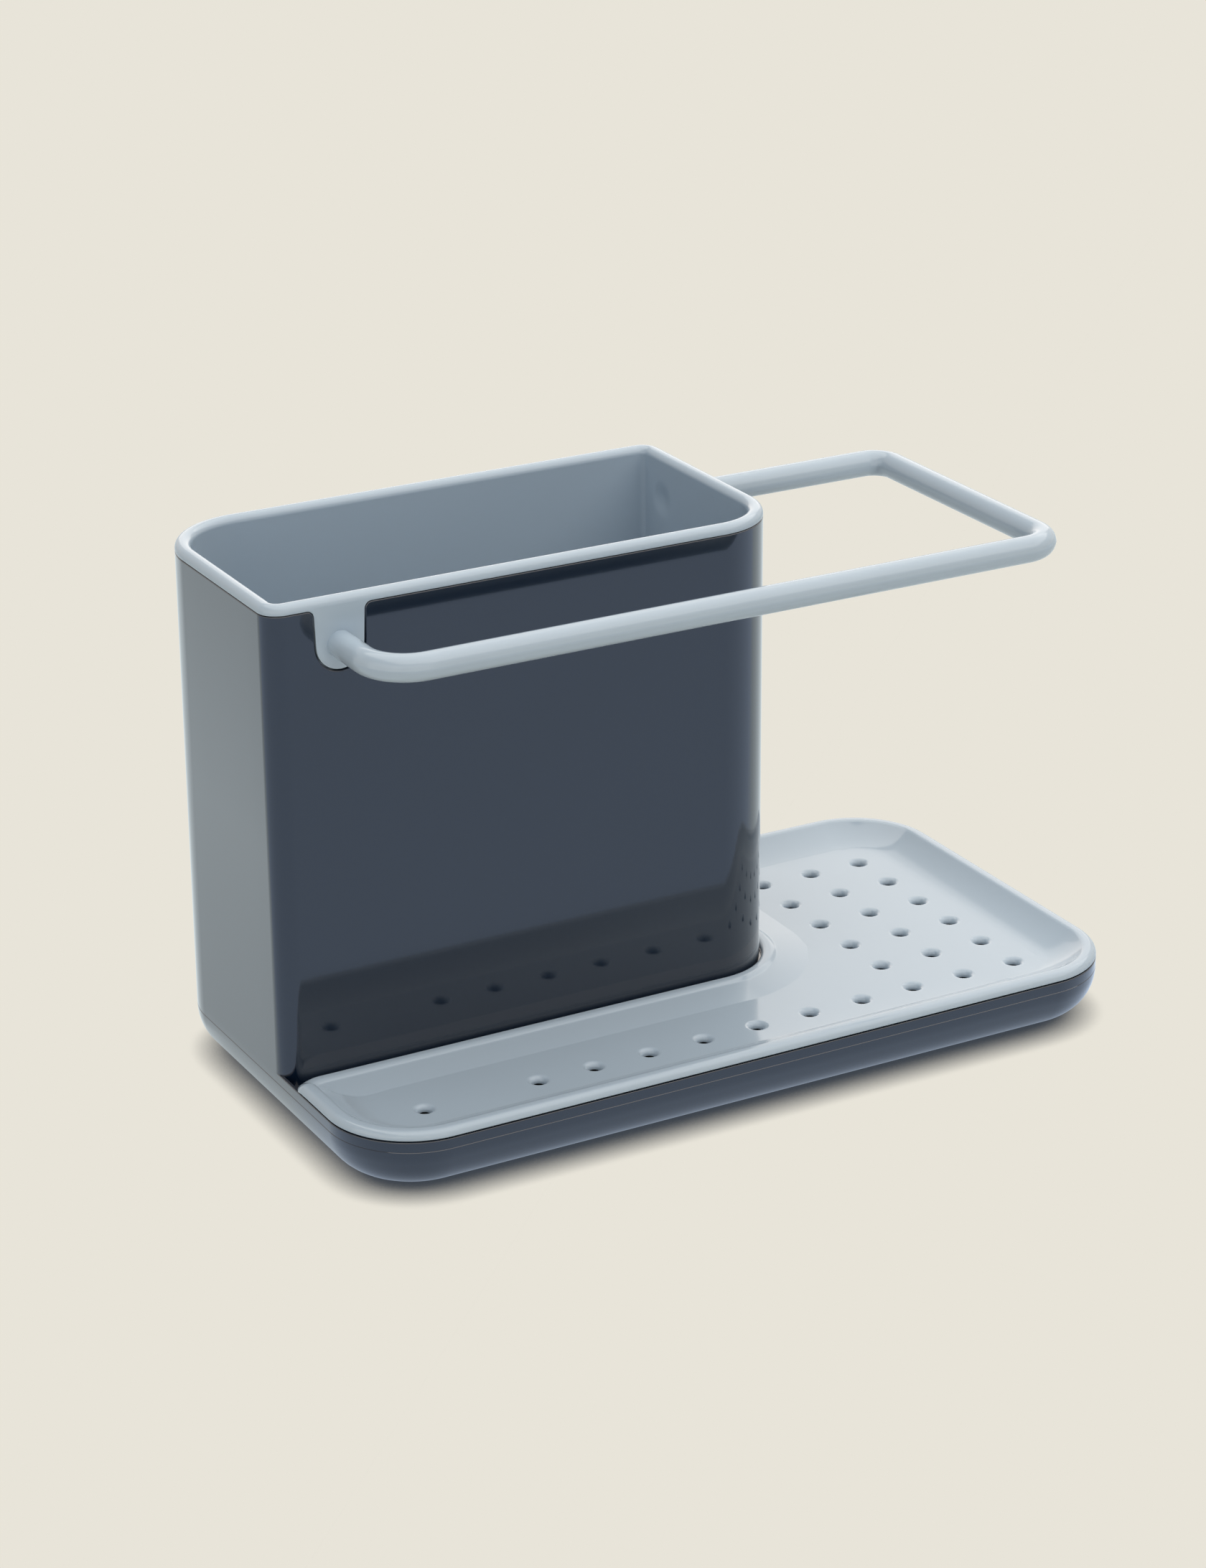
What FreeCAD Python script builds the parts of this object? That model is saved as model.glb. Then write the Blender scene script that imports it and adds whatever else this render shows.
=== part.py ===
import FreeCAD, Part
import math
import os

from FreeCAD import Vector

# Kitchen sink caddy, in millimetres: a drip base with a tall sleeve, a lift-out compartment with a
# towel rail moulded to its rim, and an L-shaped drainer tray that lies in the base.
# Frame: +Z up, X along the length, Y to the back, origin on the worktop under the middle of the base.

# Overall sizes
length = 206.0
depth = 112.0
corner_radius = 21.0
least_radius = 1.0
overrun = 2.0
full_turn = 360.0
slant_share = math.sqrt(0.5)
level_tolerance = 0.01
seam = 0.4
seam_depth = 0.8

# Outer body: drip base and sleeve in one moulding
stand = 1.0
base_round = 11.5
base_top = 15.2
base_floor = 2.2
body_wall = 2.0
sleeve_length = 134.9
strip_depth = 44.6
sleeve_top = 127.5
sleeve_round_radius = 17.8
sleeve_edge_radius = 5.0
ledge_top = 13.2
ledge_width = 4.0
rebate_wall = 0.9

# Inner compartment, hung in the sleeve by its rim
compartment_gap = 0.35
compartment_wall = 1.5
compartment_floor = 1.8
drip_space = 9.8
compartment_round = 1.5
compartment_inner_round = 0.8
rim_height = 2.0
rim_round_share = 0.96
compartment_drain_radius = 2.5
compartment_drain_inset = 16.0
compartment_drain_pitch = 18.0

# Tabs that lie in the sleeve's notches and carry the towel rail
tab_half_width = 6.2
tab_low_half_width = 5.9
tab_flare = 1.7
front_tab_inset = 17.8
back_tab_inset = 12.9

# Towel rail
rail_radius = 3.25
rail_drop = 8.7
rail_front_reach = 22.1
rail_right_reach = 60.3
rail_root_bend = 10.3
rail_front_bend = 8.3
rail_back_bend = 5.6
rail_root_fillet = 2.2

# Drainer tray
tray_gap = 1.0
tray_fit_gap = 0.4
tray_wall = 1.6
tray_floor = 13.2
tray_end_radius = 8.0
bead_height = 1.95
bead_round = 1.85
bead_width = 3.6
bead_inner_round = 1.8
bead_inner_turn = math.radians(37)
lip_top = 15.1
lip_width = 2.6
lip_overlap = 0.6
lip_ramp = 5.0
lip_round = 1.4
cove_width = 12.0
end_cove_width = 14.0
crease_share = 0.45
lip_crease_share = 0.85
cove_steps = 8
bead_steps = 4

# Drain holes of the tray
drain_radius = 1.5
drain_lip = 1.5
drain_column_pitch = 14.7
drain_row_pitch = 14.15
drain_end_inset = 21.0
drain_front_inset = 19.6
drain_sleeve_inset = 14.0

# Feet
foot_radius = 6.5
foot_recess = 0.8
foot_edge = 0.4
foot_gap = 0.15
foot_inset = 23.0

# Places worked out from the sizes above
left = -length / 2
right = length / 2
front = -depth / 2
back = depth / 2
floor_top = stand + base_floor
sleeve_depth = depth - strip_depth
sleeve_right = left + sleeve_length
sleeve_front = front + strip_depth
compartment_inset = body_wall + compartment_gap
rim_width = compartment_inset + compartment_wall
rim_base = sleeve_top + seam
rim_round = rim_round_share * min(rim_width / 2, rim_height)
compartment_bottom = floor_top + drip_space
rail_height = sleeve_top - rail_drop
front_tab_x = left + front_tab_inset
back_tab_y = back - back_tab_inset
bead_base = base_top + seam
bead_top = bead_base + bead_height


# Helpers

def square_outline(corners, height):
    """Closed wire of straight runs and tangent arcs through square corners (x, y, radius)."""
    arcs = []
    for index, (x, y, radius) in enumerate(corners):
        corner = Vector(x, y, height)
        x_before, y_before = corners[index - 1][:2]
        x_after, y_after = corners[(index + 1) % len(corners)][:2]
        to_before = (Vector(x_before, y_before, height) - corner).normalize()
        to_after = (Vector(x_after, y_after, height) - corner).normalize()
        inward = to_before + to_after
        start = corner + to_before * radius
        finish = corner + to_after * radius
        middle = corner + inward * radius * (1 - slant_share)
        arcs.append((start, middle, finish))
    edges = []
    for index, (start, middle, finish) in enumerate(arcs):
        next_start = arcs[(index + 1) % len(arcs)][0]
        edges.append(Part.Arc(start, middle, finish).toShape())
        edges.append(Part.LineSegment(finish, next_start).toShape())
    return Part.Wire(edges)


def prism(outline, bottom, top):
    """Solid between two heights from a function that draws its outline at a height."""
    return Part.Face(outline(bottom)).extrude(Vector(0, 0, top - bottom))


def inset_radius(radius, inset):
    return max(radius - inset, least_radius)


def level_edges(shape, height):
    """Edges of a shape that lie flat at one height."""
    return [
        edge for edge in shape.Edges
        if all(abs(vertex.Z - height) < level_tolerance for vertex in edge.Vertexes)
    ]


def base_outline(inset):
    radius = inset_radius(corner_radius, inset)
    corners = [
        (left + inset, front + inset, radius),
        (right - inset, front + inset, radius),
        (right - inset, back - inset, radius),
        (left + inset, back - inset, radius),
    ]
    return lambda height: square_outline(corners, height)


def sleeve_outline(inset):
    edge_radius = inset_radius(sleeve_edge_radius, inset)
    front_radius = inset_radius(sleeve_round_radius, inset)
    back_radius = inset_radius(corner_radius, inset)
    corners = [
        (left + inset, sleeve_front + inset, edge_radius),
        (sleeve_right - inset, sleeve_front + inset, front_radius),
        (sleeve_right - inset, back - inset, edge_radius),
        (left + inset, back - inset, back_radius),
    ]
    return lambda height: square_outline(corners, height)


def tray_outline(side_inset, end_inset, sleeve_inset):
    """L-shaped outline, set in by its own distance at the long sides, the ends and the sleeve."""
    outer = inset_radius(corner_radius, (side_inset + end_inset) / 2)
    tip = inset_radius(tray_end_radius, (side_inset + end_inset) / 4 + sleeve_inset / 2)
    inner_x = sleeve_right + tray_gap + sleeve_inset
    inner_y = sleeve_front - tray_gap - sleeve_inset
    corners = [
        (left + end_inset, front + side_inset, outer),
        (right - end_inset, front + side_inset, outer),
        (right - end_inset, back - side_inset, outer),
        (inner_x, back - side_inset, tip),
        (inner_x, inner_y, sleeve_round_radius + tray_gap + sleeve_inset),
        (left + end_inset, inner_y, tip),
    ]
    return lambda height: square_outline(corners, height)


def bent_path(points, radii):
    """Open wire through points, with a tangent arc of its own radius at each square inner corner."""
    edges = []
    run_start = points[0]
    for before, corner, after, radius in zip(points, points[1:], points[2:], radii):
        to_before = (before - corner).normalize()
        to_after = (after - corner).normalize()
        start = corner + to_before * radius
        finish = corner + to_after * radius
        middle = corner + (to_before + to_after) * radius * (1 - slant_share)
        edges.append(Part.LineSegment(run_start, start).toShape())
        edges.append(Part.Arc(start, middle, finish).toShape())
        run_start = finish
    edges.append(Part.LineSegment(run_start, points[-1]).toShape())
    return Part.Wire(edges)


def tab_face(origin, along, grow, top):
    """Face of a tab on a wall, or of its notch when grown, with a round foot and flared shoulders."""
    def place(sideways, height):
        return origin + along * sideways + Vector(0, 0, height)

    shoulder = tab_half_width + tab_flare
    flare = tab_flare - grow
    flare_height = rim_base - tab_flare
    flare_turn = flare * slant_share
    half = tab_half_width + grow
    low_half = tab_low_half_width + grow
    shoulder_height = flare_height + flare
    outline = [
        Part.Arc(
            place(-shoulder, shoulder_height),
            place(-shoulder + flare_turn, flare_height + flare_turn),
            place(-half, flare_height),
        ),
        Part.LineSegment(place(-half, flare_height), place(-low_half, rail_height)),
        Part.Arc(
            place(-low_half, rail_height),
            place(0, rail_height - low_half),
            place(low_half, rail_height),
        ),
        Part.LineSegment(place(low_half, rail_height), place(half, flare_height)),
        Part.Arc(
            place(half, flare_height),
            place(shoulder - flare_turn, flare_height + flare_turn),
            place(shoulder, shoulder_height),
        ),
        Part.LineSegment(place(shoulder, shoulder_height), place(shoulder, top)),
        Part.LineSegment(place(shoulder, top), place(-shoulder, top)),
        Part.LineSegment(place(-shoulder, top), place(-shoulder, shoulder_height)),
    ]
    return Part.Face(Part.Wire([curve.toShape() for curve in outline]))


def rail_root(origin, outward):
    """Concave flare that blends the rail into its tab."""
    foot = rail_radius + rail_root_fillet
    turn = rail_root_fillet * (1 - slant_share)

    def place(radius, out):
        return origin + Vector(0, 0, radius) + outward * out

    outline = [
        Part.LineSegment(place(0, 0), place(foot, 0)),
        Part.Arc(
            place(foot, 0),
            place(rail_radius + turn, turn),
            place(rail_radius, rail_root_fillet),
        ),
        Part.LineSegment(place(rail_radius, rail_root_fillet), place(0, rail_root_fillet)),
        Part.LineSegment(place(0, rail_root_fillet), place(0, 0)),
    ]
    face = Part.Face(Part.Wire([curve.toShape() for curve in outline]))
    return face.revolve(origin, outward, full_turn)


# Where the two tabs sit: a point on the wall at height zero, along the wall, and out of the wall
front_tab = (Vector(front_tab_x, sleeve_front, 0), Vector(1, 0, 0), Vector(0, -1, 0))
back_tab = (Vector(sleeve_right, back_tab_y, 0), Vector(0, 1, 0), Vector(1, 0, 0))


def foot_places():
    across = right - foot_inset
    along = back - foot_inset
    return {
        "foot_front_left": (-across, -along),
        "foot_front_right": (across, -along),
        "foot_back_left": (-across, along),
        "foot_back_right": (across, along),
    }


def outer_body():
    """Drip base with its rounded underside, ledge and sleeve, notched for the two tabs."""
    base = prism(base_outline(0), stand, base_top)
    base = base.makeFillet(base_round, level_edges(base, stand))
    sleeve = prism(sleeve_outline(0), stand + base_round, sleeve_top)
    hollow = prism(base_outline(body_wall), floor_top, base_top + overrun)
    hollow = hollow.makeFillet(base_round - body_wall, level_edges(hollow, floor_top))
    ledge = prism(sleeve_outline(-ledge_width), stand, ledge_top)
    rebate = prism(base_outline(rebate_wall), ledge_top, base_top + overrun)
    pan = hollow.cut(ledge).fuse(rebate).cut(prism(sleeve_outline(0), stand, sleeve_top))
    shaft_outline = sleeve_outline(body_wall)
    shaft_foot = prism(shaft_outline, stand, base_top).common(hollow)
    shaft = prism(shaft_outline, stand + base_round, sleeve_top + overrun)
    body = base.fuse(sleeve).removeSplitter()
    body = body.cut(pan).cut(shaft_foot.fuse(shaft))
    for origin, along, outward in (front_tab, back_tab):
        notch = tab_face(origin + outward * overrun, along, seam, sleeve_top + overrun)
        body = body.cut(notch.extrude(outward * -(body_wall + overrun * 2)))
    for x, y in foot_places().values():
        recess = Part.makeCylinder(foot_radius + foot_gap, foot_recess, Vector(x, y, stand))
        body = body.cut(recess)
    return body.removeSplitter()


def towel_rail():
    """Round bar from the front tab, along the front, across the right end and back to the right tab."""
    bar_front = sleeve_front - rail_front_reach
    bar_right = sleeve_right + rail_right_reach
    start = Vector(front_tab_x, sleeve_front + body_wall, rail_height)
    points = [
        start,
        Vector(front_tab_x, bar_front, rail_height),
        Vector(bar_right, bar_front, rail_height),
        Vector(bar_right, back_tab_y, rail_height),
        Vector(sleeve_right - body_wall, back_tab_y, rail_height),
    ]
    path = bent_path(points, (rail_root_bend, rail_front_bend, rail_back_bend))
    section = Part.Wire(Part.makeCircle(rail_radius, start, Vector(0, -1, 0)))
    return path.makePipeShell([section], True, False)


def compartment_drains():
    """Drain holes through the compartment's floor, in rows that fill it."""
    inset = rim_width + compartment_drain_inset
    columns = int((sleeve_length - 2 * inset) / compartment_drain_pitch)
    rows = int((sleeve_depth - 2 * inset) / compartment_drain_pitch)
    middle_x = left + sleeve_length / 2
    middle_y = back - sleeve_depth / 2
    holes = []
    for column in range(columns + 1):
        for row in range(rows + 1):
            x = middle_x + (column - columns / 2) * compartment_drain_pitch
            y = middle_y + (row - rows / 2) * compartment_drain_pitch
            place = Vector(x, y, compartment_bottom - overrun)
            height = compartment_floor + 2 * overrun
            holes.append(Part.makeCylinder(compartment_drain_radius, height, place))
    return Part.makeCompound(holes)


def inner_compartment():
    """Lift-out compartment with its bullnose rim, tabs and towel rail in one moulding."""
    shell = prism(sleeve_outline(compartment_inset), compartment_bottom, rim_base)
    shell = shell.makeFillet(compartment_round, level_edges(shell, compartment_bottom))
    seat = prism(sleeve_outline(seam_depth), sleeve_top, rim_base)
    rim = prism(sleeve_outline(0), rim_base, rim_base + rim_height)
    opening = prism(sleeve_outline(rim_width), rim_base, rim_base + rim_height)
    rim = rim.cut(opening)
    rim = rim.makeFillet(rim_round, level_edges(rim, rim_base + rim_height))
    solid = shell.fuse(seat)
    bond = compartment_inset + compartment_wall / 2
    for origin, along, outward in (front_tab, back_tab):
        tab = tab_face(origin, along, 0, rim_base + rim_height / 4).extrude(outward * -bond)
        root = rail_root(origin + Vector(0, 0, rail_height), outward)
        solid = solid.fuse(tab).fuse(root)
    solid = solid.fuse(rim).fuse(towel_rail())
    hollow_bottom = compartment_bottom + compartment_floor
    hollow = prism(sleeve_outline(rim_width), hollow_bottom, rim_base)
    hollow = hollow.makeFillet(compartment_inner_round, level_edges(hollow, hollow_bottom))
    solid = solid.cut(hollow).cut(compartment_drains())
    return solid.removeSplitter()


def cove_share(rise_share, crease):
    """How far up a cove's width a height share lies, when a share of its rise is a straight slope."""
    if crease == 0:
        return math.sqrt(rise_share)
    bend = 1 - crease
    return (math.sqrt(crease ** 2 + 4 * bend * rise_share) - crease) / (2 * bend)


def dish():
    """Space above the tray's floor: coves that rise to the bead, and to the lip beside the sleeve."""
    rise = bead_top - bead_inner_round * (1 - math.cos(bead_inner_turn)) - tray_floor
    crest = bead_width - bead_inner_round * math.sin(bead_inner_turn)
    lip_rise = lip_top - tray_floor
    sections = []
    for step in range(cove_steps + 1):
        rise_share = (step / cove_steps) ** 2
        height = rise * rise_share
        side = cove_width + (bead_width - cove_width) * cove_share(rise_share, crease_share)
        end = end_cove_width + (bead_width - end_cove_width) * cove_share(rise_share, 0)
        lip_share = cove_share(min(height / lip_rise, 1), lip_crease_share)
        lip = cove_width + (lip_width - cove_width) * lip_share
        sections.append(tray_outline(side, end, lip)(tray_floor + height))
    for step in range(1, bead_steps + 1):
        angle = bead_inner_turn * (1 - step / bead_steps)
        inset = crest + bead_inner_round * math.sin(angle)
        height = bead_top - tray_floor - bead_inner_round * (1 - math.cos(angle))
        sections.append(tray_outline(inset, inset, lip_width)(tray_floor + height))
    return Part.makeLoft(sections, True, True)


def lip_clearance():
    """Space above the lip beside the sleeve, sloping up to the bead at the tray's two tips."""
    foot_growth = tray_gap + lip_width + lip_overlap
    slope = lip_ramp / (bead_top - lip_top)
    tool_top = bead_top + overrun
    top_growth = foot_growth + slope * (tool_top - lip_top)
    outlines = [sleeve_outline(-foot_growth)(lip_top), sleeve_outline(-top_growth)(tool_top)]
    return Part.makeLoft(outlines, True, True)


def drain_places():
    """Front row along the whole tray, one place left bare near its left end, and rows at the right."""
    first_x = right - drain_end_inset
    first_y = front + drain_front_inset
    columns = int((length - 2 * drain_end_inset) / drain_column_pitch)
    rows = int((depth - 2 * drain_front_inset) / drain_row_pitch)
    bare_column = columns - 1
    places = []
    for column in range(columns + 1):
        x = first_x - column * drain_column_pitch
        beside_sleeve = x < sleeve_right + tray_gap + drain_sleeve_inset
        if column != bare_column:
            places.append((x, first_y))
        if not beside_sleeve:
            places += [(x, first_y + row * drain_row_pitch) for row in range(1, rows + 1)]
    return places


def tray_drain(x, y):
    """Hole with a rounded lip, as a solid to cut away."""
    mouth = drain_radius + drain_lip
    turn = drain_lip * (1 - slant_share)

    def place(radius, height):
        return Vector(x + radius, y, tray_floor + height)

    bottom = -tray_wall - overrun
    outline = [
        Part.LineSegment(place(0, bottom), place(drain_radius, bottom)),
        Part.LineSegment(place(drain_radius, bottom), place(drain_radius, -drain_lip)),
        Part.Arc(place(drain_radius, -drain_lip), place(drain_radius + turn, -turn), place(mouth, 0)),
        Part.LineSegment(place(mouth, 0), place(mouth, drain_lip)),
        Part.LineSegment(place(mouth, drain_lip), place(0, drain_lip)),
        Part.LineSegment(place(0, drain_lip), place(0, bottom)),
    ]
    face = Part.Face(Part.Wire([curve.toShape() for curve in outline]))
    return face.revolve(Vector(x, y, 0), Vector(0, 0, 1), full_turn)


def drainer_tray():
    """L-shaped tray: bead over the base's wall, skirt and lip on its ledge, dished floor with drains."""
    plug_inset = body_wall + tray_fit_gap
    ledge_inset = ledge_width + tray_fit_gap - tray_gap
    skirt_inset = rebate_wall + tray_fit_gap
    bead = prism(tray_outline(0, 0, 0), bead_base, bead_top)
    bead = bead.makeFillet(bead_round, level_edges(bead, bead_top))
    skirt = prism(tray_outline(skirt_inset, skirt_inset, lip_round), ledge_top, bead_base)
    lip = prism(tray_outline(skirt_inset, skirt_inset, 0), ledge_top, lip_top)
    lip = lip.makeFillet(lip_round, level_edges(lip, lip_top))
    plug = prism(tray_outline(plug_inset, plug_inset, ledge_inset), tray_floor - tray_wall, ledge_top)
    tray = bead.fuse(skirt).fuse(lip).fuse(plug)
    bowl = dish()
    lowered_bowl = bowl.translated(Vector(0, 0, -tray_wall))
    channel_inset = plug_inset + tray_wall
    channel_outline = tray_outline(channel_inset, channel_inset, ledge_inset + tray_wall)
    channel = prism(channel_outline, tray_floor - tray_wall - overrun, bead_top - tray_wall)
    tray = tray.cut(lip_clearance()).cut(bowl).cut(channel.cut(lowered_bowl))
    drains = Part.makeCompound([tray_drain(x, y) for x, y in drain_places()])
    return tray.cut(drains).removeSplitter()


def foot(x, y):
    """Non-slip pad, seated in its recess, with an eased lower edge."""
    pad = Part.makeCylinder(foot_radius, stand + foot_recess, Vector(x, y, 0))
    return pad.makeFillet(foot_edge, level_edges(pad, 0))


def main():
    os.makedirs("parts", exist_ok=True)
    pieces = {
        "outer_body": outer_body(),
        "inner_compartment": inner_compartment(),
        "drainer_tray": drainer_tray(),
    }
    for name, (x, y) in foot_places().items():
        pieces[name] = foot(x, y)
    for name, shape in pieces.items():
        print(name, "solids", len(shape.Solids), "valid", shape.isValid(), "volume", round(shape.Volume))
        shape.exportStep(os.path.join("parts", name + ".step"))


main()
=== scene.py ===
import math

import bmesh
import bpy
from mathutils import Matrix, Vector


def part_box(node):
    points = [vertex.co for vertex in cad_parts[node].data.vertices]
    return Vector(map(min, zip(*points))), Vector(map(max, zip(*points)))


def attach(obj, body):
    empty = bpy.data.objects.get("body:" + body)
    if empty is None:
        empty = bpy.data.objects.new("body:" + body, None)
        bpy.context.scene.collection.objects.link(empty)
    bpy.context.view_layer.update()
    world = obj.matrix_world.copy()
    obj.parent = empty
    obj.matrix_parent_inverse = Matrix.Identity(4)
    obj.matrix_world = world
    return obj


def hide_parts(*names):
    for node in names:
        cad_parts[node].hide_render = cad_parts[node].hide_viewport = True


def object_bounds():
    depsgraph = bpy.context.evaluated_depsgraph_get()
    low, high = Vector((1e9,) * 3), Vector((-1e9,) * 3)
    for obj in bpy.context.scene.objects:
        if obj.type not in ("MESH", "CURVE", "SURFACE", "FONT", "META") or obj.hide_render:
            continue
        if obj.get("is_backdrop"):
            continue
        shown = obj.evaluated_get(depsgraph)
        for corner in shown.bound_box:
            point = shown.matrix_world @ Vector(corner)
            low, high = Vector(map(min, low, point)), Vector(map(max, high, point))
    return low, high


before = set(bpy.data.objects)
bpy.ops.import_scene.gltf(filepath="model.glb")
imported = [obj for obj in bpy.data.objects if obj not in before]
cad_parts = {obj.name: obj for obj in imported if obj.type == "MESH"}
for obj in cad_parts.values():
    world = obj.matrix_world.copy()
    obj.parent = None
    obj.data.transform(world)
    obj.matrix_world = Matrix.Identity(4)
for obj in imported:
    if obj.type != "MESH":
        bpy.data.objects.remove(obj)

bl_info = {
    "name": "Sink caddy",
    "version": (1, 0, 0),
    "blender": (4, 5, 0),
    "location": "3D View > Sidebar > Sink caddy",
    "description": "Builds a free-standing kitchen sink caddy, its moulded finishes and its stage",
    "category": "Object",
}

MM = 0.001
CAD_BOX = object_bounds()
BODY_LOW, BODY_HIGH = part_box("outer_body")
TRAY_LOW, TRAY_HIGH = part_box("drainer_tray")
COMPARTMENT_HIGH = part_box("inner_compartment")[1]
QUARTER = math.pi / 2
SAME_POINT = 2e-6
LEAST_RADIUS = MM
SHARP_TURN = math.radians(35)
NORMAL_WEIGHT = 80


# Settings

def distance(name, size, description):
    """A length that a user may change, given in metres."""
    return bpy.props.FloatProperty(
        name=name, description=description, default=size, precision=5, unit="LENGTH", subtype="DISTANCE")


def colour(name, red, green, blue, description):
    """A colour that a user may change."""
    return bpy.props.FloatVectorProperty(
        name=name, description=description, default=(red, green, blue), size=3, min=0, max=1, subtype="COLOR")


def share(name, value, description):
    """A share, from none to all, that a user may change."""
    return bpy.props.FloatProperty(
        name=name, description=description, default=value, min=0, max=1, subtype="FACTOR")


def angle(name, degrees, description):
    """An angle that a user may change."""
    return bpy.props.FloatProperty(
        name=name, description=description, default=math.radians(degrees), subtype="ANGLE", unit="ROTATION")


def power(name, watts, description):
    """The power of a lamp that a user may change."""
    return bpy.props.FloatProperty(name=name, description=description, default=watts, min=0, unit="POWER")


class CaddyBodySizes(bpy.types.PropertyGroup):
    """Sizes of the drip base and the sleeve that stands on it"""
    length: distance("Length", BODY_HIGH.x - BODY_LOW.x, "Length of the base")
    depth: distance("Depth", BODY_HIGH.y - BODY_LOW.y, "Depth of the base")
    stand: distance("Stand", BODY_LOW.z, "Height of the base's underside over the worktop")
    sleeve_top: distance("Sleeve top", BODY_HIGH.z, "Height of the sleeve's top edge")
    sleeve_length: distance("Sleeve length", 134.9 * MM, "Length of the sleeve along the back")
    strip_depth: distance("Strip depth", 44.6 * MM, "Depth of the base in front of the sleeve")
    corner_radius: distance("Corner radius", 21 * MM, "Radius of the base's corners")
    sleeve_round: distance("Sleeve round", 17.8 * MM, "Radius of the sleeve's front right corner")
    edge_radius: distance("Edge radius", 5 * MM, "Radius of the sleeve's two crisp corners")
    base_round: distance("Base round", 11.5 * MM, "Radius of the rounded underside")
    base_top: distance("Base top", 15.2 * MM, "Height of the base's wall")
    floor_top: distance("Floor top", 3.2 * MM, "Height of the floor inside the base")
    wall: distance("Wall", 2 * MM, "Thickness of the walls")
    ledge_top: distance("Ledge top", 13.2 * MM, "Height of the ledge that carries the tray")
    ledge_width: distance("Ledge width", 4 * MM, "Width of the ledge along the sleeve")
    rebate_wall: distance("Rebate wall", 0.9 * MM, "Thickness of the wall outside the tray's skirt")
    edge_ease: distance("Edge ease", 0.25 * MM, "Radius that eases the moulding's free edges")
    parting_depth: distance("Parting depth", 0.09 * MM, "Depth of the parting line round the base")
    parting_width: distance("Parting width", 0.34 * MM, "Width of the parting line round the base")


class CaddyCompartmentSizes(bpy.types.PropertyGroup):
    """Sizes of the lift-out compartment and its tabs"""
    gap: distance("Gap", 0.35 * MM, "Play between the compartment and the sleeve")
    wall: distance("Wall", 1.5 * MM, "Thickness of the walls")
    bottom: distance("Bottom", 13 * MM, "Height of the underside")
    floor: distance("Floor", 1.8 * MM, "Thickness of the floor")
    foot_round: distance("Foot round", 1.5 * MM, "Radius round the underside")
    inner_round: distance("Inner round", 0.8 * MM, "Radius between the walls and the floor inside")
    rim_top: distance("Rim top", COMPARTMENT_HIGH.z, "Height of the rim")
    rim_height: distance("Rim height", 2 * MM, "Height of the bullnose rim")
    rim_ease: distance("Rim ease", 0.2 * MM, "Radius that eases the rim's lower edge")
    seam: distance("Seam", 0.15 * MM, "Fine gap between the rim and the sleeve")
    tab_gap: distance("Tab gap", 0.4 * MM, "Shadow gap round a tab's foot")
    seam_depth: distance("Seam depth", 0.8 * MM, "Depth of the shadow gap")
    tab_half_width: distance("Tab half width", 6.2 * MM, "Half the width of a tab under its shoulders")
    tab_low_half_width: distance("Tab low half width", 5.9 * MM, "Radius of a tab's round foot")
    tab_flare: distance("Tab flare", 1.7 * MM, "Radius of a tab's shoulders")
    front_tab_inset: distance("Front tab inset", 17.8 * MM, "Middle of the front tab from the left side")
    back_tab_inset: distance("Back tab inset", 12.9 * MM, "Middle of the right tab from the back")
    drain_radius: distance("Drain radius", 2.5 * MM, "Radius of the drain holes in the floor")
    drain_lip: distance("Drain lip", 0.4 * MM, "Radius of the drain holes' rounded mouths")
    drain_pitch: distance("Drain pitch", 18 * MM, "Distance between the drain holes")
    drain_inset: distance("Drain inset", 16 * MM, "Least distance of the drain holes from the walls")


class CaddyRailSizes(bpy.types.PropertyGroup):
    """Sizes of the towel rail"""
    radius: distance("Radius", 3.25 * MM, "Radius of the bar")
    drop: distance("Drop", 8.7 * MM, "Middle of the bar under the sleeve's top")
    front_reach: distance("Front reach", 22.1 * MM, "Middle of the front bar from the sleeve")
    right_reach: distance("Right reach", 60.3 * MM, "Middle of the end bar from the sleeve")
    root_bend: distance("Root bend", 10.3 * MM, "Bend beside the front tab")
    front_bend: distance("Front bend", 8.3 * MM, "Bend at the front right corner")
    back_bend: distance("Back bend", 5.6 * MM, "Bend at the back right corner")
    root_fillet: distance("Root fillet", 2.2 * MM, "Fillet between the bar and its tabs")
    parting_height: distance("Parting height", 0.08 * MM, "Height of the parting line along the bar")


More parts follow.
